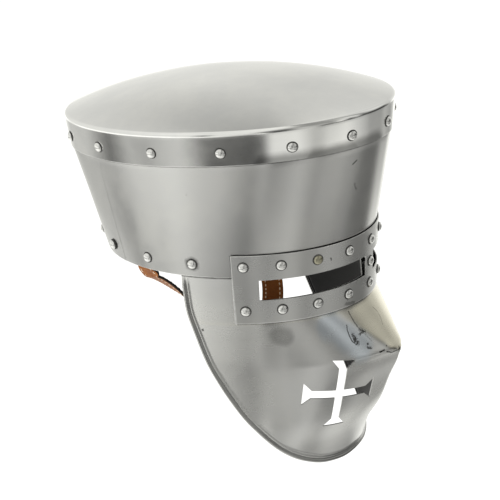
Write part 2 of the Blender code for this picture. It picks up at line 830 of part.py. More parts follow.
def build_rivets(prefix, seats):
    for i, seat in enumerate(seats, start=1):
        name = f"{prefix}_{i:02d}"
        rivet(name, seat, polished_steel(name))


def main():
    clear_scene()
    cap = crown_cap(brushed_steel("crown_cap"))
    wall = skull_wall(brushed_steel("skull_wall"))
    band = eye_band(brushed_steel("eye_band"))
    mask = face_mask(brushed_steel("face_mask"))
    strap = chin_strap(strap_leather("chin_strap"))

    cap_seats = cap_rivet_seats()
    rear_seats = rear_rivet_seats()
    upper_seats = [band_rivet_seat(phi, BAND_UPPER_LEVEL) for phi in band_rivet_angles()]
    lower_seats = [band_rivet_seat(phi, BAND_LOWER_LEVEL) for phi in band_rivet_angles()]
    nose_seat = band_rivet_seat(0.0, 0.5 * (BAND_UPPER_LEVEL + BAND_LOWER_LEVEL))
    mask_seats = [seat for seat, angle in zip(rear_seats, REAR_RIVET_ANGLES)
                  if abs(angle) == MASK_RIVET_ANGLE]
    strap_seats = [seat for seat, angle in zip(rear_seats, REAR_RIVET_ANGLES)
                   if abs(angle) == STRAP_RIVET_ANGLE]

    band_seats = upper_seats + lower_seats + [nose_seat]
    cut(cap, [hole_cutter("cap_holes", cap_seats)])
    cut(wall, [hole_cutter("wall_holes", cap_seats + rear_seats + upper_seats)])
    cut(band, [hole_cutter("band_holes", band_seats), slot_cutter("slot", 1),
               slot_cutter("slot", -1)])
    cut(mask, [hole_cutter("mask_holes", band_seats + mask_seats), slot_cutter("slot", 1),
               slot_cutter("slot", -1), cross_cutter("cross")])
    cut(strap, [hole_cutter("strap_holes", strap_seats)])

    build_rivets("cap_rivet", cap_seats)
    build_rivets("rear_rivet", rear_seats)
    build_rivets("band_rivet", band_seats)


main()
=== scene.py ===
"""Templar helmet: finely shaped plates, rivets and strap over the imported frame, with their finishes.

Metres, +Z up, face towards -Y. Shapes are worked out from the middle of the skull wall's lower rim
and moved so that the origin is the underside of the crown at its top. Angles run round the helmet
from the face, positive to the wearer's right. The named values hold them in degrees, and phi is
the same angle in radians.
"""

import math

import bmesh
import bpy
import numpy as np
from mathutils import Matrix, Vector, noise


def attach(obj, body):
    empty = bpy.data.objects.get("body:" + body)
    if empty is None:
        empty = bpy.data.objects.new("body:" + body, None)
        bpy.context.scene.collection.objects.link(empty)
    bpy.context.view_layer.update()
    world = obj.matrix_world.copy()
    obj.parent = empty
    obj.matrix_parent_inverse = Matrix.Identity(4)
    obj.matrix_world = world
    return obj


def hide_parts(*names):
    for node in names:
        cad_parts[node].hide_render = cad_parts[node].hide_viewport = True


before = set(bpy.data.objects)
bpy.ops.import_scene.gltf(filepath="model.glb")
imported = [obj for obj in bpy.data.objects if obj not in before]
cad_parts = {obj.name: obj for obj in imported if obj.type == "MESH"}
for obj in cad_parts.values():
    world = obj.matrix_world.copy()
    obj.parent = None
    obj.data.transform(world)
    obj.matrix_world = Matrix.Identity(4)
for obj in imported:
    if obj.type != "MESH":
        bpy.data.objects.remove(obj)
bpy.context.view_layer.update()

MM = 0.001
GAP = 0.3 * MM
PLATE = 1.2 * MM
FACET_ROOM = 0.1 * MM
SHEET_STEPS = 264
SHEET_EDGE_ROUND = 0.4 * MM
WALL_EDGE_ROUND = 0.3 * MM
EDGE_ROUND_FROM = 50.0
SHEET_SMOOTH_TO = 40.0
MASK_SMOOTH_TO = 38.0
ROUND_SMOOTH_TO = 50.0

# Skull wall
RIM_HALF_LENGTH = 121.5 * MM
RIM_HALF_WIDTH = 99.0 * MM
WALL_TOP_DROP = 12.0 * MM
LAP_START = 123.5
LAP_END = 150.0
LAP_SHOWN = 0.2
LAP_STEP = 0.023
LAP_FADE_TOP = 0.97
LAP_FADE = 0.12
WALL_ROW = 0.05
SEAT_DROP = 1.0 * MM

# Crown cap
CROWN_HALF_LENGTH = 152.2 * MM
CROWN_HALF_WIDTH = 105.8 * MM
CROWN_SHIFT = 2.6 * MM
CROWN_HEIGHT = 124.9 * MM
CROWN_TILT = 0.05
DOME_RISE = 26.3 * MM
DOME_FULLNESS = 2.15
BEND_START = 3.2 * MM
BEND_SHARE = 0.976
FLANGE_DEPTH = 28.7 * MM
FLANGE_TAPER = 3.3 * MM
FLANGE_ROW = 2.4 * MM
BEND_ROWS = 12
BEND_PULL = 1.25
DOME_ROW = 0.035
DOME_TOP_SHARE = 0.03

# Eye band
BAND_TOP = 20.0 * MM
BAND_BOTTOM = -41.4 * MM
BAND_REACH = 70.3
BAND_STAND_OFF = 0.6 * MM
SLOT_TOP = -2.5 * MM
SLOT_BOTTOM = -20.5 * MM
SLOT_NEAR_NOSE = 4.2
SLOT_FAR_END = 59.7
SLOT_ROOM = 1.0 * MM
SLOT_ROOM_TURN = 0.5
SLOT_CUT_PLACES = 41
SLOT_CUT_OUT = 8.0 * MM
SLOT_CUT_IN = 14.0 * MM
BAND_CELL_TURN = 0.8
BAND_CELL_HEIGHT = 2.0 * MM

# Face mask
MASK_TOP = 16.0 * MM
MASK_DROP = 192.0 * MM
MASK_INSET = PLATE + GAP + FACET_ROOM
MASK_TUCK = 80.0
NOSE_REACH = 28.0 * MM
NOSE_TIP = -89.0 * MM
NOSE_TOP = -42.5 * MM
NOSE_SPREAD = 50.0
FACET_ROUND = 15.0
FACET_FALL = 0.16
NOSE_CREASE = 0.6 * MM
FACET_EDGE = 0.8 * MM
NOSE_PINCH = 0.12
NOSE_PINCH_SPREAD = 6.0
LIP_RAISE = 2.2 * MM
LIP_WIDTH = 6.5 * MM
LIP_TOP = -2.0 * MM
LIP_FADE = 6.0 * MM
LIP_ROWS = 17
LIP_LEAST_TURN = 0.3
NOSE_TIP_ROUND = 0.7071
RIDGE_FOOT_ROUND = 0.8 * MM
FACET_FOOT_ROUND = 0.5 * MM
MASK_EDGE_PLACES = 1200
MASK_EDGE_BLUR = 37
MASK_STEPS = 241
MASK_ROWS = 96

# Cross
CROSS_HEIGHT = 65.0 * MM
CROSS_WIDTH = 65.5 * MM
CROSS_BAR = 7.6 * MM
CROSS_FLARE = 21.0 * MM
CROSS_FLARE_LENGTH = 7.5 * MM
CROSS_ANGLE = 29.5
CROSS_LEVEL = -115.7 * MM
CROSS_LEAN = 8.0
CROSS_CUT_OUT = 25.0 * MM
CROSS_CUT_IN = 30.0 * MM

# Rivets
RIVET_HEAD_RADIUS = 4.0 * MM
RIVET_HEAD_HEIGHT = 3.0 * MM
RIVET_SHANK_RADIUS = 1.6 * MM
RIVET_TAIL_RADIUS = 2.8 * MM
RIVET_TAIL_HEIGHT = 1.0 * MM
RIVET_TAIL_GAP = 0.5 * MM
RIVET_SIDES = 28
DOME_RINGS = 9
DOME_FOOT = 0.25
SEAT_TRIALS = 8
CAP_RIVETS = 15
CAP_RIVET_DROP = 17.0 * MM
REAR_RIVET_LEVEL = 11.0 * MM
REAR_RIVET_ANGLES = (86.0, 107.0, 131.0, 155.0, 180.0, -155.0, -131.0, -107.0, -86.0)
STRAP_RIVET_ANGLE = 107.0
MASK_RIVET_ANGLE = 86.0
BAND_RIVET_SPACING = 31.4 * MM
BAND_RIVETS_EACH_SIDE = 4
BAND_PLACES = 400
BAND_UPPER_LEVEL = 9.9 * MM
BAND_LOWER_LEVEL = -29.7 * MM
DULL_BAND_RIVET = 6

# Strap
STRAP_WIDTH = 20.0 * MM
STRAP_THICKNESS = 2.5 * MM
STRAP_ROOM = 1.1 * MM
STRAP_END_LEVEL = 20.0 * MM
STRAP_RIM_ANGLE = 111.6
STRAP_RIPPLE = 0.2 * MM
STRAP_RIPPLE_SIZE = 11.0 * MM
STRAP_PLACES = 12
DARK_EDGE_FROM = 0.94

# Stitches
STITCH_LENGTH = 3.0 * MM
STITCH_PITCH = 4.2 * MM
STITCH_RADIUS = 0.55 * MM
STITCH_LINE = 0.66
STITCH_START = 3.0 * MM
STITCH_END = 5.0 * MM
STITCH_RINGS = 5
STITCH_SIDES = 6
STITCH_SEAT = 0.45
STITCH_ARCH = 1.1
STITCH_DIP = 0.7
STITCH_END_SIZE = 0.55

# Slight unevenness that hand forming leaves in each plate: depth, size and a number for its pattern
CAP_DENTS = (0.28 * MM, 46.0 * MM, 1)
WALL_DENTS = (0.5 * MM, 70.0 * MM, 2)
BAND_DENTS = (0.2 * MM, 40.0 * MM, 3)
MASK_DENTS = (0.18 * MM, 42.0 * MM, 4)

# The mask at each level: its half length and half width as shares of the rim's, and how far its
# nose reaches. Levels are shares of the mask's drop.
MASK_COLUMNS = ("level", "length", "width", "reach")
MASK_SECTIONS = (
    (0.00, 1.000, 1.000, 0.00),
    (-0.22, 1.008, 1.007, 0.00),
    (-0.265, 1.008, 1.010, 0.29),
    (-0.31, 1.008, 1.012, 0.55),
    (-0.36, 1.010, 1.014, 0.79),
    (-0.41, 1.013, 1.015, 0.98),
    (-0.447, 1.018, 1.013, 1.09),
    (-0.468, 1.020, 1.011, 1.00),
    (-0.52, 1.020, 1.006, 0.86),
    (-0.59, 1.014, 0.998, 0.64),
    (-0.72, 0.985, 0.980, 0.36),
    (-0.85, 0.908, 0.955, 0.11),
    (-1.00, 0.838, 0.930, 0.00),
    (-1.10, 0.790, 0.910, 0.00),
)

# The mask's free edge from the wall down to the chin
EDGE_COLUMNS = ("angle", "level")
MASK_EDGE = (
    (92.0, 0.083),
    (92.0, -0.01),
    (91.0, -0.18),
    (88.3, -0.26),
    (85.1, -0.37),
    (82.0, -0.455),
    (76.7, -0.57),
    (69.9, -0.69),
    (61.7, -0.785),
    (54.0, -0.858),
    (44.5, -0.918),
    (31.0, -0.968),
    (14.0, -0.990),
    (0.0, -0.984),
)

# The strap's middle line where it hangs, as shares of the rim's half width and half length and of
# the mask's drop, and how far it is twisted out of the level
STRAP_COLUMNS = ("across", "along", "drop", "twist")
STRAP_PATH = (
    (-0.867, 0.337, -0.040, 9.0),
    (-0.841, 0.310, -0.062, 20.2),
    (-0.822, 0.265, -0.079, 30.3),
    (-0.812, 0.187, -0.107, 41.2),
    (-0.803, 0.095, -0.149, 52.9),
    (-0.795, 0.000, -0.205, 61.6),
    (-0.690, -0.075, -0.360, 30.0),
    (-0.480, -0.070, -0.520, 10.0),
    (-0.220, -0.035, -0.625, 2.0),
    (0.050, 0.000, -0.660, 0.0),
    (0.350, 0.035, -0.640, 0.0),
    (0.610, 0.075, -0.580, 8.0),
    (0.790, 0.110, -0.500, 24.0),
    (0.880, 0.140, -0.405, 34.0),
    (0.905, 0.190, -0.280, 36.0),
    (0.915, 0.260, -0.130, 24.0),
)

# Rolled lip of the mask: distance in from the free edge and height, as shares
LIP_COLUMNS = ("inward", "raise")
LIP_PROFILE = (
    (0.00, 0.30),
    (0.03, 0.62),
    (0.09, 0.86),
    (0.18, 1.00),
    (0.30, 0.98),
    (0.39, 0.82),
    (0.45, 0.56),
    (0.50, 0.30),
    (0.55, 0.22),
    (0.60, 0.30),
    (0.68, 0.44),
    (0.78, 0.38),
    (0.88, 0.18),
    (1.00, 0.00),
)

# Painted shade along the lip's roll, from the free edge inwards
LIP_GROOVE_SHADE_COLUMNS = ("inward", "darkness")
LIP_GROOVE_SHADE = (
    (0.00, 0.15),
    (0.12, 0.0),
    (0.26, 0.35),
    (0.36, 0.9),
    (0.52, 1.0),
    (0.60, 0.35),
    (0.68, 0.0),
    (1.00, 0.0),
)

# Quarter of the strap's outline, as shares of half its width and half its thickness: pressed in
# under the stitches and rounded at the edge.
STRAP_SECTION = (
    (0.000, 1.00),
    (0.300, 1.00),
    (0.550, 1.00),
    (0.620, 0.97),
    (0.660, 0.90),
    (0.700, 0.97),
    (0.880, 0.99),
    (0.955, 0.90),
    (0.985, 0.66),
    (1.000, 0.25),
)

# Edge and seat of a rivet's head as shares of its radius and height, and its tail as shares of
# the tail's radius and height.
# The head's edge and seat carry painted shade with some dirt.
HEAD_EDGE = (
    (1.00, 0.14),
    (0.96, 0.09),
    (1.03, 0.07),
    (1.22, 0.025),
    (1.22, -0.10),
)
TAIL_PROFILE = (
    (1.00, 0.00),
    (1.00, -0.45),
    (0.86, -0.85),
    (0.50, -1.00),
)


# Colours
# Painted bluish shade on the side of the nose
NOSE_SIDE_SHADE_BLUE = (0.88, 0.95, 1.04, 1.0)
# Painted sheen on the nose's upper facet
FACET_PAINTED_SHEEN = (1.18, 1.13, 0.97, 1.0)
TARNISH = (0.42, 0.40, 0.30, 1.0)
THREAD_DARK = (0.66, 0.46, 0.30, 1.0)
THREAD_PALE = (0.90, 0.74, 0.58, 1.0)
HIDE_LIGHT = (0.44, 0.150, 0.022, 1.0)
HIDE_DARK = (0.23, 0.066, 0.008, 1.0)
# Near-black tones of the strap's edges
DARK_EDGE_PALE = (0.022, 0.012, 0.008, 1.0)
DARK_EDGE_DEEP = (0.010, 0.006, 0.004, 1.0)

# Camera and stage
CAMERA_AZIMUTH = 61.04
CAMERA_HEIGHT = 19.84
CAMERA_ROLL = -4.60
CAMERA_DISTANCE = 1.49723
CAMERA_AIM = (0.0, -0.0066, -0.14987)
FOCAL_PIXELS = 1695.96
IMAGE_CENTRE = (243.17, 236.20)
IMAGE_SIZE = 500.0
SENSOR_WIDTH = 36.0
FLOOR_LEVEL = -0.62
FLOOR_REACH = 30.0
ROOM_COLOUR = (1.0, 1.0, 0.985, 1.0)
ROOM_STRENGTH = 1.1
SOFTBOX_HEIGHT = 1.7
SOFTBOX_SIZE = 2.4
SOFTBOX_POWER = 14.0
SOFTBOX_COLOUR = (1.0, 1.0, 0.97)

# The light tent's cloths from its foot to its top, each with its brightness at a few directions
# from the face: the narrow cloth is the gap in the low one that the flange mirrors.
TENT_RADIUS = 4.0
TENT_CLOTHS = {
    "deep": ((-180, 0.85), (-120, 0.90), (-90, 0.98), (60, 0.98), (85, 0.70), (110, 0.70),
             (130, 0.98), (165, 0.98), (180, 0.85)),
    "ground": ((-180, 1.0), (-140, 0.95), (-110, 0.70), (-75, 0.65), (-66, 0.90), (-56, 0.75),
               (-49, 1.0), (-4, 1.0), (4, 0.65), (15, 0.65), (24, 1.0), (180, 1.0)),
    "low": ((-180, 1.5), (-165, 1.0), (-150, 1.5), (-137, 1.5), (-110, 0.9), (-86, 1.5),
            (-75, 1.3), (-61, 0.05), (-26, 0.05), (-15, 0.2), (-4, 0.05), (30, 0.05), (35, 0.6),
            (41, 0.55), (55, 0.2), (65, 0.05), (71, 1.25), (77, 0.45), (85, 0.65), (101, 1.3),
            (109, 1.2), (120, 1.45), (180, 1.5)),
    "narrow": ((-180, 0.55), (-152, 0.6), (-137, 0.9), (-124, 1.8), (-111, 0.05), (-98, 1.6),
               (-86, 0.65), (-75, 0.35), (-58, 0.5), (-49, 0.37), (-28, 0.4), (5, 0.97),
               (23, 0.83), (35, 0.48), (47, 0.92), (65, 0.92), (71, 0.05), (101, 0.05),
               (117, 0.6), (134, 0.35), (145, 0.45), (160, 0.1), (180, 0.55)),
    "level": ((-180, 0.85), (-86, 0.85), (-75, 0.95), (-66, 0.65), (-60, 0.65), (-49, 0.05),
              (-12, 0.05), (-4, 0.6), (5, 0.1), (14, 1.05), (23, 0.3), (30, 0.5), (35, 0.4),
              (47, 0.65), (56, 0.05), (71, 0.05), (77, 0.85), (94, 0.85), (101, 0.05),
              (109, 0.85), (180, 0.85)),
    "high": ((-180, 0.85), (-165, 0.85), (-140, 0.7), (-124, 0.78), (-111, 0.68), (-61, 0.66),
             (-55, 0.84), (-35, 0.8), (-27, 0.72), (-12, 0.3), (-4, 0.84), (5, 0.84), (23, 0.3),
             (47, 0.3), (65, 0.84), (180, 0.85)),
    "top": ((-180, 0.84), (-165, 0.58), (-150, 0.4), (-124, 0.46), (-86, 0.9), (-61, 0.64),
            (-55, 0.65), (-40, 0.82), (-20, 0.33), (41, 0.3), (56, 0.92), (101, 0.92),
            (117, 0.72), (134, 0.92), (171, 0.92), (180, 0.84)),
}
DEEP_HEIGHT = -80.0
GROUND_HEIGHT = -62.0
NARROW_HEIGHT = -24.0
NARROW_SWING = -6.0
NARROW_TOWARDS = 60.0
NARROW_HALF = 3.0
NARROW_FADE = 9.0
HIGH_HEIGHT = 25.0
TOP_HEIGHT = 70.0

# Patches in the tent's cloth, a lamp and the opening that the camera looks through: direction,
# half width, height, half height and tone
TENT_PATCHES = (
    (123.0, 17.0, 35.0, 13.0, 0.95),
    (61.0, 9.0, 20.0, 8.0, 0.2),
)
PATCH_FADE = 5.0
TENT_CELL = 2.0

# Dark marks and strokes: places that each one runs through, as angle and level in millimetres
# from the rim, then its reach in millimetres, brokenness, grain and strength
MASK_MARKS = (
    (((22.3, -55.4), (23.1, -59.3), (23.2, -64.1), (22.9, -69.1), (21.5, -73.1)),
     0.99, 0.25, 900, 0.92),
    (((21.6, -64.0), (21.2, -66.5)), 2.60, 0.95, 1300, 0.90),
    (((21.5, -68.0), (20.8, -71.8)), 3.40, 0.95, 1100, 0.95),
    (((17.0, -62.0), (15.3, -65.0)), 2.60, 0.90, 1200, 0.90),
    (((18.0, -65.4), (16.0, -64.3)), 2.16, 0.60, 700, 0.80),
    # The next two strokes are painted shade along the crease beside the nose's facet
    (((18.0, -46.0), (18.1, -51.0), (17.9, -55.5), (17.2, -61.0)), 1.26, 0.30, 500, 0.63),
    (((16.6, -62.7), (15.1, -68.7), (13.8, -73.8)), 1.08, 0.50, 600, 0.40),
    (((16.3, -74.9),), 1.98, 0.30, 900, 1.00),
    (((16.8, -77.7), (15.6, -79.2)), 2.16, 0.50, 700, 0.80),
    (((7.8, -81.1),), 1.26, 0.30, 900, 0.80),
    (((12.4, -84.3), (9.9, -83.8)), 1.44, 0.30, 900, 0.98),
    (((8.8, -86.0), (5.4, -88.7), (2.6, -88.6), (0.4, -87.9)), 1.26, 0.15, 900, 1.00),
    (((1.1, -52.0), (-0.2, -56.3), (0.1, -61.3), (1.8, -66.3)), 0.99, 0.20, 600, 0.40),
    (((52.9, -54.2), (50.0, -56.0)), 17.00, 0.08, 60, 0.36),
    (((84.2, -48.6),), 2.34, 0.50, 900, 0.92),
)
# Painted bluish shade on the side of the nose
MASK_TINTS = (
    (((30.0, -52.0), (20.0, -76.0)), 26.0, 0.10, 60, 0.90),
)
BAND_MARKS = (
    (((28.3, 8.5), (28.0, 6.6)), 1.30, 0.30, 900, 0.80),
    (((19.3, -38.2), (13.8, -39.6)), 3.50, 0.50, 300, 0.45),
    (((18.0, -34.2), (15.3, -34.0)), 2.50, 0.50, 300, 0.40),
)
WALL_MARKS = (
    (((21.7, 88.5), (19.9, 90.9)), 1.20, 0.30, 900, 0.80),
    (((19.0, 69.8), (17.5, 64.7)), 1.60, 0.50, 500, 0.35),
    (((85.4, 72.3),), 1.00, 0.30, 900, 0.70),
    (((86.0, 11.0),), 12.00, 0.10, 120, 0.95),
)

# The flange's marks are placed by their drop from its top.
FLANGE_MARKS = (
    (((65.3, -19.4),), 0.90, 0.20, 900, 0.50),
    (((64.5, -13.5),), 0.90, 0.20, 900, 0.50),
    (((67.1, -23.4),), 0.80, 0.20, 900, 0.50),
    (((18.2, -25.1), (8.9, -29.5)), 7.00, 0.06, 160, 0.40),
    # The last three wide strokes are painted shade: darker mirrored light low on the flange's front
    (((10.0, -30.5), (24.0, -31.5)), 22.0, 0.03, 60, 0.60),
    (((24.0, -31.5), (40.0, -31.5)), 22.0, 0.03, 60, 0.70),
    (((40.0, -31.5), (57.0, -31.5)), 22.0, 0.03, 60, 0.60),
)


def column(rows, names, wanted):
    return np.array([row[names.index(wanted)] for row in rows])


def place(x, y, z):
    return np.stack(np.broadcast_arrays(x, y, z), axis=-1).astype(float)


def unit(vectors):
    return vectors / np.linalg.norm(vectors, axis=-1, keepdims=True)


def level_outwards(points):
    """Level way out from the helmet's upright middle at each point."""
    return unit(points * np.array((1.0, 1.0, 0.0)))


def distances_along(points):
    """Way travelled along a line at each of its points."""
    return np.concatenate([[0.0], np.cumsum(np.linalg.norm(np.diff(points, axis=0), axis=1))])


def ellipse(half_length, half_width, shift, phi):
    return -half_width * np.sin(phi), shift - half_length * np.cos(phi)


def crown_level(y, rise):
    return CROWN_HEIGHT + rise - CROWN_TILT * y


def crown_point(phi, inset, rise):
    x, y = ellipse(CROWN_HALF_LENGTH - inset, CROWN_HALF_WIDTH - inset, CROWN_SHIFT, phi)
    return place(x, y, crown_level(y, rise))


def flange_point(phi, drop):
    return crown_point(phi, FLANGE_TAPER * drop / FLANGE_DEPTH, -drop)


def seat_point(phi, inset=0.0):
    return crown_point(phi, FLANGE_TAPER + PLATE + GAP + inset, -FLANGE_DEPTH - SEAT_DROP)


def wall_point(phi, level, inset=0.0):
    """Point of the wall's outer face, moved inwards by inset, at a height above the rim."""
    seat = seat_point(phi, inset)
    x, y = ellipse(RIM_HALF_LENGTH - inset, RIM_HALF_WIDTH - inset, 0.0, phi)
    share = np.minimum(level / seat[..., 2], 1.0)
    return place(x + (seat[..., 0] - x) * share, y + (seat[..., 1] - y) * share, level)


def lap_height(phi):
    angle = np.degrees(phi) % 360.0
    share = (LAP_END - angle) / (LAP_END - LAP_START)
    return np.where((angle < LAP_START) | (angle > LAP_END), 0.0, PLATE * share)


def smooth_value(levels, values, level):
    """Cubic curve through the table's rows, flat beyond its ends."""
    slopes = np.gradient(values, levels)
    level = np.clip(level, levels[-1], levels[0])
    i = np.clip(np.searchsorted(-levels, -level, side="right") - 1, 0, len(levels) - 2)
    step = levels[i + 1] - levels[i]
    t = (level - levels[i]) / step
    start = (1 + 2 * t) * (1 - t) ** 2 * values[i] + t * (1 - t) ** 2 * step * slopes[i]
    end = t * t * (3 - 2 * t) * values[i + 1] + t * t * (t - 1) * step * slopes[i + 1]
    return start + end


def soft_least(a, b, blend):
    """The lesser of two heights, with their crease rounded over the blend."""
    return 0.5 * (a + b - np.sqrt((a - b) ** 2 + blend ** 2))


def soft_foot(height, blend):
    """A height that runs out softly where it would fall below nothing."""
    return 0.5 * (height + np.sqrt(height ** 2 + blend ** 2))


def nose_forms(phi, level, reach):
    """Heights of the nose's rounded ridge and of the flat facet above it."""
    turn = np.hypot(np.degrees(phi), NOSE_TIP_ROUND)
    ridge = reach * NOSE_REACH * (1.0 - turn / NOSE_SPREAD)
    ridge = ridge * (1.0 - NOSE_PINCH * (1.0 - np.exp(-turn / NOSE_PINCH_SPREAD)))
    facet = NOSE_REACH * (NOSE_TOP - level) / (NOSE_TOP - NOSE_TIP)
    facet = facet * (1.0 - FACET_FALL * (1.0 - np.exp(-(turn / FACET_ROUND) ** 2)))
    return soft_foot(ridge, RIDGE_FOOT_ROUND), soft_foot(facet, FACET_FOOT_ROUND)


def nose_height(phi, level, reach):
    return np.maximum(0.0, soft_least(*nose_forms(phi, level, reach), NOSE_CREASE))


def mask_share(name, level):
    levels = column(MASK_SECTIONS, MASK_COLUMNS, "level") * MASK_DROP
    return smooth_value(levels, column(MASK_SECTIONS, MASK_COLUMNS, name), level)


def mask_point(phi, level):
    """Point of the mask's outer face before its lip is raised."""
    length, width, reach = (mask_share(name, level) for name in ("length", "width", "reach"))
    x, y = ellipse(length * (RIM_HALF_LENGTH - MASK_INSET),
                   width * (RIM_HALF_WIDTH - MASK_INSET), 0.0, phi)
    below = place(x, y - nose_height(phi, level, reach), level)
    above = wall_point(phi, level, MASK_INSET)
    return np.where(np.asarray(level >= 0.0)[..., None], above, below)


def band_point(phi, level, inset=0.0):
    """Point of the eye band's outer face, moved inwards by inset."""
    shape_of_phi = np.shape(phi)
    top = wall_point(phi, np.full(shape_of_phi, BAND_TOP), -BAND_STAND_OFF - PLATE + inset)
    bottom = mask_point(phi, np.full(shape_of_phi, BAND_BOTTOM))
    bottom = bottom + level_outwards(bottom) * (GAP + FACET_ROOM + PLATE - inset)
    share = (BAND_TOP - level) / (BAND_TOP - BAND_BOTTOM)
    return top + (bottom - top) * np.asarray(share)[..., None]


def surface_frame(surface, phi, level):
    """Point and outward unit normal of a surface given by angle and level."""
    phi = np.asarray(phi, float)
    level = np.asarray(level, float)
    turn = math.radians(0.3)
    rise = 0.3 * MM
    point = surface(phi, level)
    around = surface(phi + turn, level) - surface(phi - turn, level)
    upward = surface(phi, level + rise) - surface(phi, level - rise)
    normal = unit(np.cross(upward, around))
    outward = np.sum(normal[..., :2] * point[..., :2], axis=-1, keepdims=True)
    return point, np.where(outward < 0.0, -normal, normal)


def crown_underside():
    return np.array((0.0, CROWN_SHIFT, crown_level(CROWN_SHIFT, DOME_RISE) - PLATE))


def steps_between(stops, step):
    """Values through all the stops, evenly spaced between them by at most the step."""
    values = [stops[0]]
    for low, high in zip(stops, stops[1:]):
        count = max(1, math.ceil(abs(high - low) / step))
        values += [low + (high - low) * (i + 1) / count for i in range(count)]
    return np.array(values)


def grid_normals(grid, closed):
    if closed:
        around = np.roll(grid, -1, axis=1) - np.roll(grid, 1, axis=1)
    else:
        around = np.gradient(grid, axis=1)
    down = np.gradient(grid, axis=0)
    normals = np.cross(around, down)
    normals /= np.maximum(np.linalg.norm(normals, axis=2, keepdims=True), 1e-12)
    middle = grid.reshape(-1, 3).mean(axis=0)
    return -normals if np.sum(normals * (grid - middle)) < 0.0 else normals


def dent_height(point, dents):
    depth, size, pattern = dents
    offset = Vector((pattern * 3.1, pattern * 1.7, pattern * 0.9))
    return depth * noise.noise(Vector(point) / size + offset)


def dented(grid, closed, dents):
    heights = np.array([dent_height(point, dents) for point in grid.reshape(-1, 3)])
    return grid + grid_normals(grid, closed) * heights.reshape(grid.shape[:2])[..., None]


def add_object(name, data):
    obj = bpy.data.objects.new(name, data)
    bpy.context.scene.collection.objects.link(obj)
    return obj


def make_mesh(name, vertices, faces, materials, slots):
    mesh = bpy.data.meshes.new(name)
    mesh.from_pydata(np.asarray(vertices).tolist(), [], faces)
    for material in materials:
        mesh.materials.append(material)
    mesh.polygons.foreach_set("material_index", np.array(slots, dtype=np.int32))
    mesh.update()
    return mesh


def store_values(mesh, name, values):
    """One value at each point of the mesh, for its material to read."""
    layer = mesh.attributes.new(name, "FLOAT", "POINT")
    layer.data.foreach_set("value", np.ravel(values).astype(np.float32))


def tube_faces(base, rings, sides):
    """Faces between rings of points that follow each other in the list from base on."""
    faces = []
    for start in range(base, base + (rings - 1) * sides, sides):
        for i in range(sides):
            k = (i + 1) % sides
            faces.append((start + i, start + sides + i, start + sides + k, start + k))
    return faces


def shape(name, vertices, faces, slots, materials):
    """Piece of the helmet on its body, from points in the rim's frame."""
    points = np.asarray(vertices) - crown_underside()
    obj = add_object(name, make_mesh(name, points, faces, materials, slots))
    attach(obj, "root")
    return obj


def face_outwards(obj):
    builder = bmesh.new()
    builder.from_mesh(obj.data)
    bmesh.ops.recalc_face_normals(builder, faces=builder.faces)
    builder.to_mesh(obj.data)
    builder.free()


def smooth_faces(obj, angle):
    obj.data.shade_smooth()
    obj.data.set_sharp_from_angle(angle=math.radians(angle))


def soften_edges(obj, width, segments):
    """Small rounds along the sharp edges, so that they catch the light."""
    bevel = obj.modifiers.new("edge_round", "BEVEL")
    bevel.width = width
    bevel.segments = segments
    bevel.limit_method = "ANGLE"
    bevel.angle_limit = math.radians(EDGE_ROUND_FROM)
    bevel.harden_normals = True


def sheet_plate(name, outer, inner, closed, materials, kept=None, filled=False):
    """Plate between two matching grids, open right through where cells aren't kept.

    A filled plate has one broad face across its last row on each side, and no edge there.
    """
    rows, steps = outer.shape[:2]
    cells = steps if closed else steps - 1
    edge_slot = 2 if len(materials) > 2 else 0
    if kept is None:
        kept = np.ones((rows - 1, cells), bool)
    shift = rows * steps
    faces, slots = [], []

    def has_edge(i, j):
        if filled and i == rows - 1:
            return False
        if closed:
            j %= cells
        return not (0 <= i < rows - 1 and 0 <= j < cells and kept[i, j])

    for i in range(rows - 1):
        for j in range(cells):
            if not kept[i, j]:
                continue
            k = (j + 1) % steps
            a, b, c, d = i * steps + j, i * steps + k, (i + 1) * steps + k, (i + 1) * steps + j
            faces += [(a, b, c, d), (shift + d, shift + c, shift + b, shift + a)]
            slots += [0, 1]
            for p, q, next_i, next_j in ((a, b, i - 1, j), (b, c, i, j + 1), (c, d, i + 1, j),
                                         (d, a, i, j - 1)):
                if has_edge(next_i, next_j):
                    faces.append((q, p, shift + p, shift + q))
                    slots.append(edge_slot)
    if filled:
        last = range(shift - steps, shift)
        faces += [tuple(last), tuple(shift + v for v in reversed(last))]
        slots += [0, 1]
    vertices = np.concatenate([outer.reshape(-1, 3), inner.reshape(-1, 3)])
    used = np.unique([v for face in faces for v in face])
    renumber = {int(v): n for n, v in enumerate(used)}
    faces = [tuple(renumber[v] for v in face) for face in faces]
    obj = shape(name, vertices[used], faces, slots, materials)
    face_outwards(obj)
    return obj


def ring_angles(steps):
    return np.arange(steps) * 2.0 * math.pi / steps


def dome_row(share, phi):
    x, y = ellipse(CROWN_HALF_LENGTH * share, CROWN_HALF_WIDTH * share, CROWN_SHIFT, phi)
    return place(x, y, crown_level(y, DOME_RISE * (1.0 - share ** DOME_FULLNESS)))


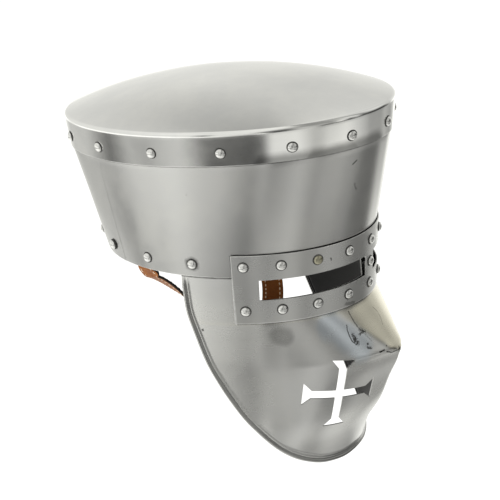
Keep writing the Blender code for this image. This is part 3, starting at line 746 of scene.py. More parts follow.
def build_crown_cap(materials):
    """Dome, soft bend and flange in one sheet."""
    phi = ring_angles(SHEET_STEPS)
    rows = [flange_point(phi, drop) for drop in steps_between((FLANGE_DEPTH, BEND_START), FLANGE_ROW)]
    flange, dome = rows[-1], dome_row(BEND_SHARE, phi)
    reach = BEND_PULL * np.linalg.norm(dome - flange, axis=1, keepdims=True)
    upward = reach * unit(rows[-1] - rows[-2])
    inward = reach * unit(dome - dome_row(BEND_SHARE + 0.01, phi))
    for t in np.linspace(0.0, 1.0, BEND_ROWS + 1)[1:]:
        rows.append((2 * t ** 3 - 3 * t ** 2 + 1) * flange + (t ** 3 - 2 * t ** 2 + t) * upward
                    + (3 * t ** 2 - 2 * t ** 3) * dome + (t ** 3 - t ** 2) * inward)
    shares = steps_between((BEND_SHARE, DOME_TOP_SHARE), DOME_ROW)
    rows += [dome_row(share, phi) for share in shares[1:]]
    outer = dented(np.array(rows), True, CAP_DENTS)
    inner = outer - grid_normals(outer, True) * PLATE
    obj = sheet_plate("cap_sheet", outer, inner, True, materials, filled=True)
    soften_edges(obj, SHEET_EDGE_ROUND, 3)
    smooth_faces(obj, SHEET_SMOOTH_TO)
    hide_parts("crown_cap")


def build_skull_wall(materials):
    """Flared wall of one wrapped sheet with its outer end lapped at the right rear."""
    lap, step = math.radians(LAP_START), math.radians(LAP_STEP)
    phi = np.sort(np.concatenate([ring_angles(SHEET_STEPS), [lap, lap + step]]))
    phi = phi[np.concatenate([[True], np.diff(phi) > 0.75 * step])]
    shares = steps_between((0.0, 1.0), WALL_ROW)
    seat = seat_point(phi)
    levels = [seat[:, 2] * share for share in shares]
    levels.append(crown_level(seat[:, 1], -WALL_TOP_DROP))
    outer = dented(np.array([wall_point(phi, level) for level in levels]), True, WALL_DENTS)
    spread = level_outwards(outer)
    inner = outer - spread * PLATE
    rise = np.where(phi > lap, LAP_SHOWN * lap_height(phi), 0.0)
    fade = np.clip((LAP_FADE_TOP - np.append(shares, 1.2)) / LAP_FADE, 0.0, 1.0)
    outer = outer + spread * (fade[:, None] * rise)[..., None]
    obj = sheet_plate("wall_sheet", outer, inner, True, materials)
    soften_edges(obj, WALL_EDGE_ROUND, 2)
    smooth_faces(obj, SHEET_SMOOTH_TO)
    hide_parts("skull_wall")


def build_eye_band(materials):
    """Reinforcing band with both sight slots cut through it."""
    stops = (-BAND_REACH, -SLOT_FAR_END, -SLOT_NEAR_NOSE, SLOT_NEAR_NOSE, SLOT_FAR_END, BAND_REACH)
    angles = steps_between(stops, BAND_CELL_TURN)
    levels = steps_between((BAND_TOP, SLOT_TOP, SLOT_BOTTOM, BAND_BOTTOM), BAND_CELL_HEIGHT)
    grid_phi, grid_level = np.meshgrid(np.radians(angles), levels)
    outer = dented(band_point(grid_phi, grid_level), False, BAND_DENTS)
    inner = outer - level_outwards(outer) * PLATE
    mid_angle = 0.5 * (np.abs(angles[1:]) + np.abs(angles[:-1]))
    mid_level = 0.5 * (levels[1:] + levels[:-1])
    beside_nose = (mid_angle > SLOT_NEAR_NOSE) & (mid_angle < SLOT_FAR_END)
    at_eyes = (mid_level < SLOT_TOP) & (mid_level > SLOT_BOTTOM)
    in_slot = at_eyes[:, None] & beside_nose[None, :]
    obj = sheet_plate("band_sheet", outer, inner, False, materials, ~in_slot)
    soften_edges(obj, SHEET_EDGE_ROUND, 3)
    smooth_faces(obj, SHEET_SMOOTH_TO)
    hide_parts("eye_band")


def mask_edge(count):
    """Evenly spaced points of the mask's free edge as angle and level, right side to left."""
    angles = np.radians(column(MASK_EDGE, EDGE_COLUMNS, "angle"))
    levels = MASK_DROP * column(MASK_EDGE, EDGE_COLUMNS, "level")
    angles = np.concatenate([angles, -angles[-2::-1]])
    levels = np.concatenate([levels, levels[-2::-1]])
    across = angles * 0.5 * (RIM_HALF_LENGTH + RIM_HALF_WIDTH)
    travel = distances_along(np.stack([across, levels], axis=1))
    fine = np.linspace(0.0, travel[-1], MASK_EDGE_PLACES)
    kernel = np.hanning(2 * MASK_EDGE_BLUR + 1)
    kernel /= kernel.sum()
    picks = np.linspace(0.0, travel[-1], count)
    out = []
    for values in (np.interp(fine, travel, angles), np.interp(fine, travel, levels)):
        before = 2 * values[0] - values[MASK_EDGE_BLUR:0:-1]
        after = 2 * values[-1] - values[-2:-MASK_EDGE_BLUR - 2:-1]
        smoothed = np.convolve(np.concatenate([before, values, after]), kernel, mode="valid")
        out.append(np.interp(picks, fine, smoothed))
    return out


def mask_outer_face(count, body_rows):
    """Outer face of the mask: rows run inwards from the free edge to the top line."""
    radius = 0.5 * (RIM_HALF_LENGTH + RIM_HALF_WIDTH)
    angles, levels = mask_edge(count)
    tops = np.radians(np.linspace(MASK_TUCK, -MASK_TUCK, count))
    run = np.array([(tops - angles) * radius, MASK_TOP - levels])
    edge_way = np.array([np.gradient(angles) * radius, np.gradient(levels)])
    lengths = np.hypot(*run)
    turn = np.abs(run[0] * edge_way[1] - run[1] * edge_way[0]) / np.hypot(*edge_way)
    lip = LIP_WIDTH / np.maximum(turn, LIP_LEAST_TURN * lengths)
    inward = column(LIP_PROFILE, LIP_COLUMNS, "inward")
    inward = np.unique(np.concatenate([inward, np.linspace(0.0, 1.0, LIP_ROWS)]))
    raises = np.interp(inward, column(LIP_PROFILE, LIP_COLUMNS, "inward"),
                       column(LIP_PROFILE, LIP_COLUMNS, "raise"))
    shares = [lip * amount for amount in inward]
    shares += [lip + (1.0 - lip) * (i + 1) / body_rows for i in range(body_rows)]
    shares = np.array(shares)
    phi = angles + (tops - angles) * shares
    level = levels + (MASK_TOP - levels) * shares
    point, normal = surface_frame(mask_point, phi, level)
    height = np.concatenate([raises, np.zeros(body_rows)])
    fade = np.clip((LIP_TOP - level) / LIP_FADE, 0.0, 1.0)
    darkness = np.interp(inward, column(LIP_GROOVE_SHADE, LIP_GROOVE_SHADE_COLUMNS, "inward"),
                         column(LIP_GROOVE_SHADE, LIP_GROOVE_SHADE_COLUMNS, "darkness"))
    # Painted shade in the lip's groove, stored for the steel to read
    groove_shade = np.concatenate([darkness, np.zeros(body_rows)])[:, None] * fade
    ridge, facet = nose_forms(phi, level, mask_share("reach", level))
    # Share of the nose's upper facet, which gets a painted sheen
    warm = np.clip((ridge - facet) / FACET_EDGE + 0.5, 0.0, 1.0) * np.clip(facet / FACET_EDGE, 0.0, 1.0)
    return point + normal * (LIP_RAISE * height[:, None] * fade)[..., None], groove_shade, warm


def slot_block(sign):
    """Corners and faces of the block that opens one sight slot through the mask."""
    angles = np.radians(np.linspace(SLOT_NEAR_NOSE - SLOT_ROOM_TURN, SLOT_FAR_END + SLOT_ROOM_TURN,
                                    SLOT_CUT_PLACES)) * sign
    points = []
    for away in (SLOT_CUT_OUT, -SLOT_CUT_IN):
        for level in (SLOT_TOP + SLOT_ROOM, SLOT_BOTTOM - SLOT_ROOM):
            x, y = ellipse(RIM_HALF_LENGTH + away, RIM_HALF_WIDTH + away, 0.0, angles)
            points.append(place(x, y, level))
    count = len(angles)
    order = (0, 1, 3, 2)
    faces = [tuple(n * count for n in order), tuple((n + 1) * count - 1 for n in reversed(order))]
    for i in range(count - 1):
        for a, b in zip(order, order[1:] + order[:1]):
            faces.append((a * count + i, a * count + i + 1, b * count + i + 1, b * count + i))
    return np.concatenate(points), faces


def cross_block():
    """Corners and faces of the prism that cuts the flared cross, square to the right cheek."""
    point, normal = surface_frame(mask_point, math.radians(CROSS_ANGLE), CROSS_LEVEL)
    forward = unit(np.cross((0.0, 0.0, 1.0), normal))
    upward = np.cross(normal, forward)
    lean = math.radians(-CROSS_LEAN)
    right = forward * math.cos(lean) + upward * math.sin(lean)
    up = upward * math.cos(lean) - forward * math.sin(lean)
    half, flare = 0.5 * CROSS_BAR, 0.5 * CROSS_FLARE
    corners = []
    for quarter in range(4):
        length = 0.5 * (CROSS_WIDTH if quarter % 2 == 0 else CROSS_HEIGHT)
        neck = length - CROSS_FLARE_LENGTH
        turn = quarter * math.pi / 2
        for x, y in ((half, -half), (neck, -half), (length, -flare), (length, flare),
                     (neck, half)):
            corners.append((x * math.cos(turn) - y * math.sin(turn),
                            x * math.sin(turn) + y * math.cos(turn)))
    points = [point + normal * away + right * x + up * y
              for away in (CROSS_CUT_OUT, -CROSS_CUT_IN) for x, y in corners]
    count = len(corners)
    faces = [tuple(range(count)), tuple(count + i for i in reversed(range(count)))]
    faces += [((i + 1) % count, i, count + i, count + (i + 1) % count) for i in range(count)]
    return np.array(points), faces


def joined_block(name, blocks, materials):
    """Cutting solid whose walls leave the last material, the filed edge, on the cut faces."""
    vertices, faces = [], []
    for points, block_faces in blocks:
        base = len(vertices)
        vertices += list(points - crown_underside())
        faces += [tuple(base + v for v in face) for face in block_faces]
    slots = [len(materials) - 1] * len(faces)
    obj = add_object(name, make_mesh(name, vertices, faces, materials, slots))
    face_outwards(obj)
    return obj


def cut_away(obj, block):
    cutter = obj.modifiers.new("cut", "BOOLEAN")
    cutter.operation = "DIFFERENCE"
    cutter.solver = "EXACT"
    cutter.object = block
    depsgraph = bpy.context.evaluated_depsgraph_get()
    mesh = bpy.data.meshes.new_from_object(obj.evaluated_get(depsgraph))
    obj.modifiers.clear()
    obj.data = mesh
    bpy.data.objects.remove(block, do_unlink=True)


def build_face_mask(materials):
    """Mask plate with its slots and cross cut through."""
    grid, groove_shade, warm = mask_outer_face(MASK_STEPS, MASK_ROWS)
    outer = dented(grid, False, MASK_DENTS)
    inner = outer - grid_normals(outer, False) * PLATE
    obj = sheet_plate("mask_sheet", outer, inner, False, materials)
    for label, values in (("groove_shade", groove_shade), ("facet", warm)):
        store_values(obj.data, label, np.stack([values, np.zeros_like(values)]))
    blocks = [slot_block(1), slot_block(-1), cross_block()]
    cut_away(obj, joined_block("mask_cutter", blocks, materials))
    smooth_faces(obj, MASK_SMOOTH_TO)
    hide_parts("face_mask")


def strap_seat(angle, level):
    """Section of the strap where it lies flat inside the wall: middle, broad way, thin way."""
    point, normal = surface_frame(lambda a, z: wall_point(a, z, PLATE), math.radians(angle), level)
    broad = unit(np.cross(normal, (0.0, 0.0, math.copysign(1.0, angle))))
    return point - normal * (STRAP_ROOM + STRAP_THICKNESS / 2), broad, -normal


def strap_sections():
    """Main sections of the whole loop, riveted end to riveted end."""
    places = np.stack([column(STRAP_PATH, STRAP_COLUMNS, "across") * RIM_HALF_WIDTH,
                       column(STRAP_PATH, STRAP_COLUMNS, "along") * RIM_HALF_LENGTH,
                       column(STRAP_PATH, STRAP_COLUMNS, "drop") * MASK_DROP], axis=1)
    start = [strap_seat(STRAP_RIVET_ANGLE, STRAP_END_LEVEL), strap_seat(STRAP_RIM_ANGLE, 0.0)]
    end = [strap_seat(-STRAP_RIVET_ANGLE, level) for level in (0.0, STRAP_END_LEVEL)]
    ways = np.gradient(np.array([start[-1][0], *places, end[0][0]]), axis=0)[1:-1]
    hanging = []
    for middle, way, row in zip(places, ways, STRAP_PATH):
        way = unit(way)
        level_way = np.array((0.0, 1.0, 0.0))
        level_way = unit(level_way - way * np.dot(level_way, way))
        side_way = np.cross(way, level_way)
        twist = math.radians(row[STRAP_COLUMNS.index("twist")])
        broad = level_way * math.cos(twist) + side_way * math.sin(twist)
        thin = side_way * math.cos(twist) - level_way * math.sin(twist)
        hanging.append((middle, broad, thin))
    return start + hanging + end


def through_points(points, per_span):
    """Smooth curve through all the points, with evenly many places between each two."""
    points = np.asarray(points)
    ends = np.concatenate([[2 * points[0] - points[1]], points, [2 * points[-1] - points[-2]]])
    out = []
    for i in range(1, len(ends) - 2):
        a, b, c, d = ends[i - 1:i + 3]
        for t in np.arange(per_span) / per_span:
            out.append(0.5 * ((2 * b) + (c - a) * t + (2 * a - 5 * b + 4 * c - d) * t * t
                              + (3 * b - a - 3 * c + d) * t ** 3))
    out.append(points[-1])
    return np.array(out)


def fine_strap():
    """Finely spaced middles, broad ways and thin ways along the strap."""
    sections = strap_sections()
    middles, broads, thins = (through_points([s[n] for s in sections], STRAP_PLACES)
                              for n in range(3))
    ways = unit(np.gradient(middles, axis=0))
    broads = unit(broads - ways * np.sum(broads * ways, axis=1, keepdims=True))
    sides = np.cross(ways, broads)
    sides *= np.sign(np.sum(sides * thins, axis=1, keepdims=True))
    return middles, broads, sides


def strap_ripple(points):
    """Slight unevenness of the worn leather across its thickness."""
    return np.array([STRAP_RIPPLE * noise.noise(Vector(p) / STRAP_RIPPLE_SIZE) for p in points])


def build_strap(materials):
    """Leather strap with rounded near-black edges and a pressed line under each row of stitches."""
    half = list(STRAP_SECTION) + [(b, -t) for b, t in reversed(STRAP_SECTION)]
    outline = half + [(-b, t) for b, t in reversed(half[1:-1])]
    w, t = STRAP_WIDTH / 2, STRAP_THICKNESS / 2
    rings = []
    for m, b, s in zip(*fine_strap()):
        ripple = strap_ripple([m + b * w * x for x, _ in outline])
        rings.append([m + b * w * x + s * (t * y + r) for (x, y), r in zip(outline, ripple)])
    rings = np.array(rings)
    rows, steps = rings.shape[:2]
    last = (rows - 1) * steps
    faces = [tuple(reversed(range(steps))), tuple(range(last, last + steps))]
    faces += tube_faces(0, rows, steps)
    outwards = [abs(x) for x, _ in outline]
    dark_edged = [int(min(outwards[k], outwards[(k + 1) % steps]) > DARK_EDGE_FROM) for k in range(steps)]
    obj = shape("strap_leather_loop", rings.reshape(-1, 3), faces, [1, 1] + dark_edged * (rows - 1),
                materials)
    face_outwards(obj)
    smooth_faces(obj, ROUND_SMOOTH_TO)
    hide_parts("chin_strap")


def build_stitches(material):
    """Two rows of thread on each face of the strap, every stitch dipping in at its ends."""
    strap = fine_strap()
    travel = distances_along(strap[0])
    shares = np.linspace(0.0, 1.0, STITCH_RINGS)
    vertices, faces = [], []
    for start in np.arange(STITCH_START, travel[-1] - STITCH_END, STITCH_PITCH):
        spots = start + STITCH_LENGTH * shares
        m, b, s = (np.stack([np.interp(spots, travel, values[:, n]) for n in range(3)], axis=1)
                   for values in strap)
        for across in (-STITCH_LINE, STITCH_LINE):
            line = m + b * across * STRAP_WIDTH / 2
            line = line + s * strap_ripple(line)[:, None]
            for face in (-1.0, 1.0):
                base = len(vertices)
                for i, arch in enumerate(np.sin(math.pi * shares)):
                    rise = STITCH_RADIUS * (STITCH_ARCH * arch - STITCH_DIP)
                    radius = STITCH_RADIUS * (STITCH_END_SIZE + (1.0 - STITCH_END_SIZE) * arch)
                    middle = line[i] + s[i] * face * (STITCH_SEAT * STRAP_THICKNESS + rise)
                    vertices += [middle + radius * (b[i] * math.cos(turn) + s[i] * math.sin(turn))
                                 for turn in ring_angles(STITCH_SIDES)]
                last = len(vertices) - STITCH_SIDES
                faces += [tuple(range(base, base + STITCH_SIDES)),
                          tuple(reversed(range(last, last + STITCH_SIDES)))]
                faces += tube_faces(base, STITCH_RINGS, STITCH_SIDES)
    obj = shape("strap_stitches", vertices, faces, [0] * len(faces), [material])
    face_outwards(obj)
    obj.data.shade_smooth()


def depth_to(point, axis, surface, phi, level):
    """Distance inwards from the point along the axis to a surface given by angle and level."""
    spot = np.array((phi, level))
    trial = np.array((0.01, MM))
    for _ in range(SEAT_TRIALS):
        base = surface(*spot) - point
        turned = surface(spot[0] + trial[0], spot[1]) - point
        raised = surface(spot[0], spot[1] + trial[1]) - point
        slopes = np.array([turned - base, raised - base, axis]).T
        spot = spot + np.linalg.lstsq(slopes, -base, rcond=None)[0][:2] * trial
    return float(np.dot(point - surface(*spot), axis))


def on_dents(point, axis, depth, dents):
    """Rivet seat moved out or in with the unevenness of the plate under its head."""
    rise = dent_height(point, dents)
    return point + axis * rise, axis, depth + rise


def cap_rivet_seats():
    seats = []
    for i in range(CAP_RIVETS):
        phi = 2.0 * math.pi * i / CAP_RIVETS
        point, axis = surface_frame(lambda a, drop: flange_point(a, -drop), phi, -CAP_RIVET_DROP)
        inside = depth_to(point, axis, lambda a, z: wall_point(a, z, PLATE), phi, point[2])
        seats.append(on_dents(point, axis, inside, CAP_DENTS))
    return seats


def rear_rivet_seats():
    seats = []
    for angle in REAR_RIVET_ANGLES:
        phi = math.radians(angle)
        _, axis = surface_frame(wall_point, phi, REAR_RIVET_LEVEL)
        point = wall_point(phi, REAR_RIVET_LEVEL, -float(lap_height(phi)))
        depth = depth_to(point, axis, lambda a, z: wall_point(a, z, PLATE), phi, REAR_RIVET_LEVEL)
        if abs(angle) == STRAP_RIVET_ANGLE:
            depth += STRAP_ROOM + STRAP_THICKNESS
        if abs(angle) == MASK_RIVET_ANGLE:
            depth = depth_to(point, axis, mask_point, phi, REAR_RIVET_LEVEL) + PLATE
        seats.append(on_dents(point, axis, depth, WALL_DENTS))
    return seats


def band_rivet_seats():
    fine = np.linspace(0.0, math.radians(BAND_REACH), BAND_PLACES)
    points = band_point(fine, np.zeros_like(fine))
    travel = distances_along(points)
    right = [float(np.interp(BAND_RIVET_SPACING * k, travel, fine))
             for k in range(BAND_RIVETS_EACH_SIDE + 1)]
    angles = [-a for a in reversed(right[1:])] + right
    spots = [(phi, BAND_UPPER_LEVEL) for phi in angles]
    spots += [(phi, BAND_LOWER_LEVEL) for phi in angles]
    spots.append((0.0, 0.5 * (BAND_UPPER_LEVEL + BAND_LOWER_LEVEL)))
    seats = []
    for phi, level in spots:
        point, axis = surface_frame(band_point, phi, level)
        depth = depth_to(point, axis, mask_point, phi, level) + PLATE
        seats.append(on_dents(point, axis, depth, BAND_DENTS))
    return seats


def rivet_profile(depth):
    """Radius and height from the head's top, round its edge and down the shank to the tail."""
    profile = []
    for turn in np.radians(np.linspace(0.0, 90.0, DOME_RINGS + 1)[1:]):
        profile.append((RIVET_HEAD_RADIUS * math.sin(turn),
                        RIVET_HEAD_HEIGHT * (DOME_FOOT + (1.0 - DOME_FOOT) * math.cos(turn))))
    profile += [(RIVET_HEAD_RADIUS * radius, RIVET_HEAD_HEIGHT * height)
                for radius, height in HEAD_EDGE]
    tail_start = -depth - RIVET_TAIL_GAP
    profile += [(RIVET_SHANK_RADIUS, profile[-1][1]), (RIVET_SHANK_RADIUS, tail_start)]
    profile += [(RIVET_TAIL_RADIUS * radius, tail_start + RIVET_TAIL_HEIGHT * height)
                for radius, height in TAIL_PROFILE]
    return profile


def build_rivets(name, seats, nodes, materials, dull=()):
    """All the rivets of one row: polished heads, painted shade with some dirt on their lower sides and
    seats, and painted tails.
    """
    head_end, seat_end = DOME_RINGS - 1, DOME_RINGS + len(HEAD_EDGE) - 1
    vertices, faces, slots, tarnish = [], [], [], []
    for number, (point, axis, depth) in enumerate(seats):
        side = unit(np.cross(axis, (0.0, 0.0, 1.0)))
        other = np.cross(axis, side)
        profile = rivet_profile(depth)
        top = len(vertices)
        vertices.append(point + axis * RIVET_HEAD_HEIGHT)
        for radius, height in profile:
            vertices += [point + axis * height
                         + (side * math.cos(turn) + other * math.sin(turn)) * radius
                         for turn in ring_angles(RIVET_SIDES)]
        first, last = top + 1, len(vertices) - RIVET_SIDES
        faces += [(top, first + i, first + (i + 1) % RIVET_SIDES) for i in range(RIVET_SIDES)]
        slots += [0] * RIVET_SIDES
        faces += tube_faces(first, len(profile), RIVET_SIDES)
        for ring in range(len(profile) - 1):
            # Rings of the head's lower side and of its seat take the painted shade
            slots += [0 if ring < head_end else 2 if ring < seat_end else 1] * RIVET_SIDES
        faces.append(tuple(range(last, last + RIVET_SIDES)))
        slots.append(1)
        tarnish += [1.0 if number in dull else 0.0] * (len(vertices) - top)
    obj = shape(name, vertices, faces, slots, materials)
    store_values(obj.data, "tarnish", tarnish)
    face_outwards(obj)
    smooth_faces(obj, ROUND_SMOOTH_TO)
    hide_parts(*nodes)


# Finishes


def new_group(name, inputs, outputs):
    """Node group with its named sockets; inputs carry their starting values."""
    group = bpy.data.node_groups.new(name, "ShaderNodeTree")
    for label, kind, value in inputs:
        socket = group.interface.new_socket(name=label, in_out="INPUT", socket_type=kind)
        if value is not None:
            socket.default_value = value
    for label, kind in outputs:
        group.interface.new_socket(name=label, in_out="OUTPUT", socket_type=kind)
    return group, group.nodes.new("NodeGroupInput"), group.nodes.new("NodeGroupOutput")


def give(tree, socket, value):
    """Sets an input socket to a value or joins it to an output."""
    if isinstance(value, bpy.types.NodeSocket):
        tree.links.new(value, socket)
    else:
        socket.default_value = value


def add(tree, kind, settings=None, **values):
    """Node with its settings and its inputs, given by name or by number (in_2)."""
    node = tree.nodes.new(kind)
    for key, value in (settings or {}).items():
        setattr(node, key, value)
    for key, value in values.items():
        label = int(key[3:]) if key.startswith("in_") else key.replace("_", " ")
        give(tree, node.inputs[label], value)
    return node


def maths(tree, operation, a, b=0.0, clamp=False):
    return add(tree, "ShaderNodeMath", {"operation": operation, "use_clamp": clamp},
               in_0=a, in_1=b).outputs[0]


def remap(tree, value, low, high, new_low=0.0, new_high=1.0, soft=True):
    kind = "SMOOTHSTEP" if soft else "LINEAR"
    return add(tree, "ShaderNodeMapRange", {"interpolation_type": kind}, Value=value, From_Min=low,
               From_Max=high, To_Min=new_low, To_Max=new_high).outputs["Result"]


def mix_colour(tree, factor, a, b, blend="MIX"):
    return add(tree, "ShaderNodeMix", {"data_type": "RGBA", "blend_type": blend}, in_0=factor,
               in_6=a, in_7=b).outputs[2]


def vectors(tree, operation, a, b, output=0):
    return add(tree, "ShaderNodeVectorMath", {"operation": operation}, in_0=a, in_1=b).outputs[output]


def values_along(tree, vector, across):
    return vectors(tree, "DOT_PRODUCT", vector, across, "Value")


def near_share(tree, away, reach):
    """One at no distance, falling evenly to nothing at the reach."""
    return maths(tree, "SUBTRACT", 1.0, maths(tree, "DIVIDE", away, reach), True)


def noise_at(tree, vector, size, detail=2.0, roughness=0.5, distortion=0.0):
    return add(tree, "ShaderNodeTexNoise", None, Vector=vector, Scale=size, Detail=detail,
               Roughness=roughness, Distortion=distortion).outputs["Fac"]


def lines_at(tree, vector, stretch, detail, roughness, distortion=0.0):
    """Noise drawn out into lines by the stretch of its coordinates."""
    stretched = vectors(tree, "MULTIPLY", vector, stretch)
    return noise_at(tree, stretched, 1.0, detail, roughness, distortion)


def brush_group():
    """Brush lines: level round upright plates, lengthways on the flat of the dome."""
    group, take, hand_on = new_group(
        "Brush lines",
        [("Vector", "NodeSocketVector", None), ("Flat share", "NodeSocketFloat", 0.0),
         ("Contrast", "NodeSocketFloat", 1.0)],
        [("Lines", "NodeSocketFloat"), ("Scratches", "NodeSocketFloat")])
    vector = take.outputs["Vector"]
    level = lines_at(group, vector, (28.0, 28.0, 1500.0), 3.0, 0.65)
    lengthways = lines_at(group, vector, (1500.0, 28.0, 60.0), 3.0, 0.65)
    lines = add(group, "ShaderNodeMix", {"data_type": "FLOAT"}, in_0=take.outputs["Flat share"],
                in_2=level, in_3=lengthways).outputs[0]
    centred = maths(group, "SUBTRACT", lines, 0.5)
    scaled = maths(group, "MULTIPLY", centred, take.outputs["Contrast"])
    give(group, hand_on.inputs["Lines"], maths(group, "ADD", scaled, 0.5, True))
    coarse = lines_at(group, vector, (16.0, 16.0, 620.0), 4.0, 0.7, 0.4)
    give(group, hand_on.inputs["Scratches"], remap(group, coarse, 0.64, 0.78))
    return group


def cloud_group():
    """Uneven tone that polishing by hand leaves: wide clouds with smaller ones in them."""
    group, take, hand_on = new_group(
        "Polish clouds",
        [("Vector", "NodeSocketVector", None), ("Wide", "NodeSocketFloat", 16.0),
         ("Small", "NodeSocketFloat", 75.0)],
        [("Clouds", "NodeSocketFloat"), ("Specks", "NodeSocketFloat")])
    vector = take.outputs["Vector"]
    wide = maths(group, "MULTIPLY", noise_at(group, vector, take.outputs["Wide"], 2.0, 0.5, 0.3), 0.7)
    small = maths(group, "MULTIPLY", noise_at(group, vector, take.outputs["Small"], 3.0, 0.6), 0.3)
    clouds = remap(group, maths(group, "ADD", wide, small), 0.3, 0.7)
    give(group, hand_on.inputs["Clouds"], clouds)
    give(group, hand_on.inputs["Specks"], remap(group, noise_at(group, vector, 640.0), 0.73, 0.78))
    return group


def mark_group():
    """Dark mark round one place, or along a short stroke to its end, with a broken edge."""
    group, take, hand_on = new_group(
        "Dark mark",
        [("Vector", "NodeSocketVector", None), ("Place", "NodeSocketVector", (0.0, 0.0, 0.0)),
         ("End", "NodeSocketVector", (0.0, 0.0, 0.0)), ("Reach", "NodeSocketFloat", 0.004),
         ("Broken", "NodeSocketFloat", 0.5), ("Grain", "NodeSocketFloat", 900.0)],
        [("Mark", "NodeSocketFloat")])
    vector = take.outputs["Vector"]
    stroke = vectors(group, "SUBTRACT", take.outputs["End"], take.outputs["Place"])
    offset = vectors(group, "SUBTRACT", vector, take.outputs["Place"])
    length = maths(group, "ADD", values_along(group, stroke, stroke), 1e-9)
    share = maths(group, "DIVIDE", values_along(group, offset, stroke), length, True)
    spot = add(group, "ShaderNodeVectorMath", {"operation": "SCALE"}, in_0=stroke,
               Scale=share).outputs[0]
    away = vectors(group, "DISTANCE", offset, spot, "Value")
    near = near_share(group, away, take.outputs["Reach"])
    grain = noise_at(group, vector, take.outputs["Grain"], 2.0, 0.6)
    broken = maths(group, "MULTIPLY", maths(group, "SUBTRACT", grain, 0.5), take.outputs["Broken"])
    value = maths(group, "ADD", near, maths(group, "MULTIPLY", broken, 4.0))
    inside = remap(group, near, 0.0, 0.25)
    give(group, hand_on.inputs["Mark"],
         maths(group, "MULTIPLY", remap(group, value, 0.35, 0.75), inside))
    return group


def seam_group():
    """Line of painted shade with some dirt, or of painted highlight, where the surface crosses a plane,
    on one side of a bound.
    """
    group, take, hand_on = new_group(
        "Seam line",
        [("Vector", "NodeSocketVector", None), ("Across", "NodeSocketVector", (0.0, 0.0, 1.0)),
         ("Place", "NodeSocketFloat", 0.0), ("Reach", "NodeSocketFloat", 0.001),
         ("Bound across", "NodeSocketVector", (0.0, 0.0, 0.0)),
         ("Bound place", "NodeSocketFloat", 1.0), ("Uneven", "NodeSocketFloat", 0.4)],
        [("Line", "NodeSocketFloat")])
    vector = take.outputs["Vector"]
    along = values_along(group, vector, take.outputs["Across"])
    away = maths(group, "ABSOLUTE", maths(group, "SUBTRACT", along, take.outputs["Place"]))
    near = near_share(group, away, take.outputs["Reach"])
    side = values_along(group, vector, take.outputs["Bound across"])
    inside = maths(group, "LESS_THAN", side, take.outputs["Bound place"])
    patchy = remap(group, noise_at(group, vector, 260.0, 3.0, 0.6), 0.3, 0.7)
    uneven = maths(group, "MULTIPLY", maths(group, "SUBTRACT", 1.0, patchy), take.outputs["Uneven"])
    even = maths(group, "SUBTRACT", 1.0, uneven, True)
    line = maths(group, "MULTIPLY", remap(group, near, 0.0, 0.8), inside)
    give(group, hand_on.inputs["Line"], maths(group, "MULTIPLY", line, even))
    return group


BRUSH = brush_group()
SEAM = seam_group()
CLOUDS = cloud_group()
MARK = mark_group()


def use_group(tree, group, **values):
    return add(tree, "ShaderNodeGroup", {"node_tree": group}, **values)


def start_material(name, metallic, colour):
    material = bpy.data.materials.new(name)
    material.use_nodes = True
    material.diffuse_color = (*colour, 1.0)
    tree = material.node_tree
    shader = tree.nodes["Principled BSDF"]
    shader.inputs["Metallic"].default_value = metallic
    return material, tree, shader


def object_coordinates(tree):
    return tree.nodes.new("ShaderNodeTexCoord").outputs["Object"]


def stored_value(tree, name):
    return add(tree, "ShaderNodeAttribute", {"attribute_name": name}).outputs["Fac"]


def bump(tree, shader, height, strength, distance):
    node = add(tree, "ShaderNodeBump", None, Strength=strength, Distance=distance, Height=height)
    give(tree, shader.inputs["Normal"], node.outputs["Normal"])


def grey(value, warm=0.0):
    return (value, value * (1.0 - 0.2 * warm), value * (1.0 - warm), 1.0)


def seam_masks(tree, vector, rows):
    """Masks of the seam rows: way across, place, reach, way and place of the bound, strength."""
    for across, place_at, reach, bound, bound_place, strength in rows:
        seam = use_group(tree, SEAM, Vector=vector, Across=across, Place=place_at, Reach=reach,
                         Bound_across=bound, Bound_place=bound_place)
        yield maths(tree, "MULTIPLY", seam.outputs["Line"], strength)


def mark_masks(tree, vector, rows):
    for start, end, reach, broken, grain, strength in rows:
        mark = use_group(tree, MARK, Vector=vector, Place=start, End=end, Reach=reach,
                         Broken=broken, Grain=grain)
        yield maths(tree, "MULTIPLY", mark.outputs["Mark"], strength)


def strongest(tree, masks):
    first, *others = masks
    for mask in others:
        first = maths(tree, "MAXIMUM", first, mask)
    return first


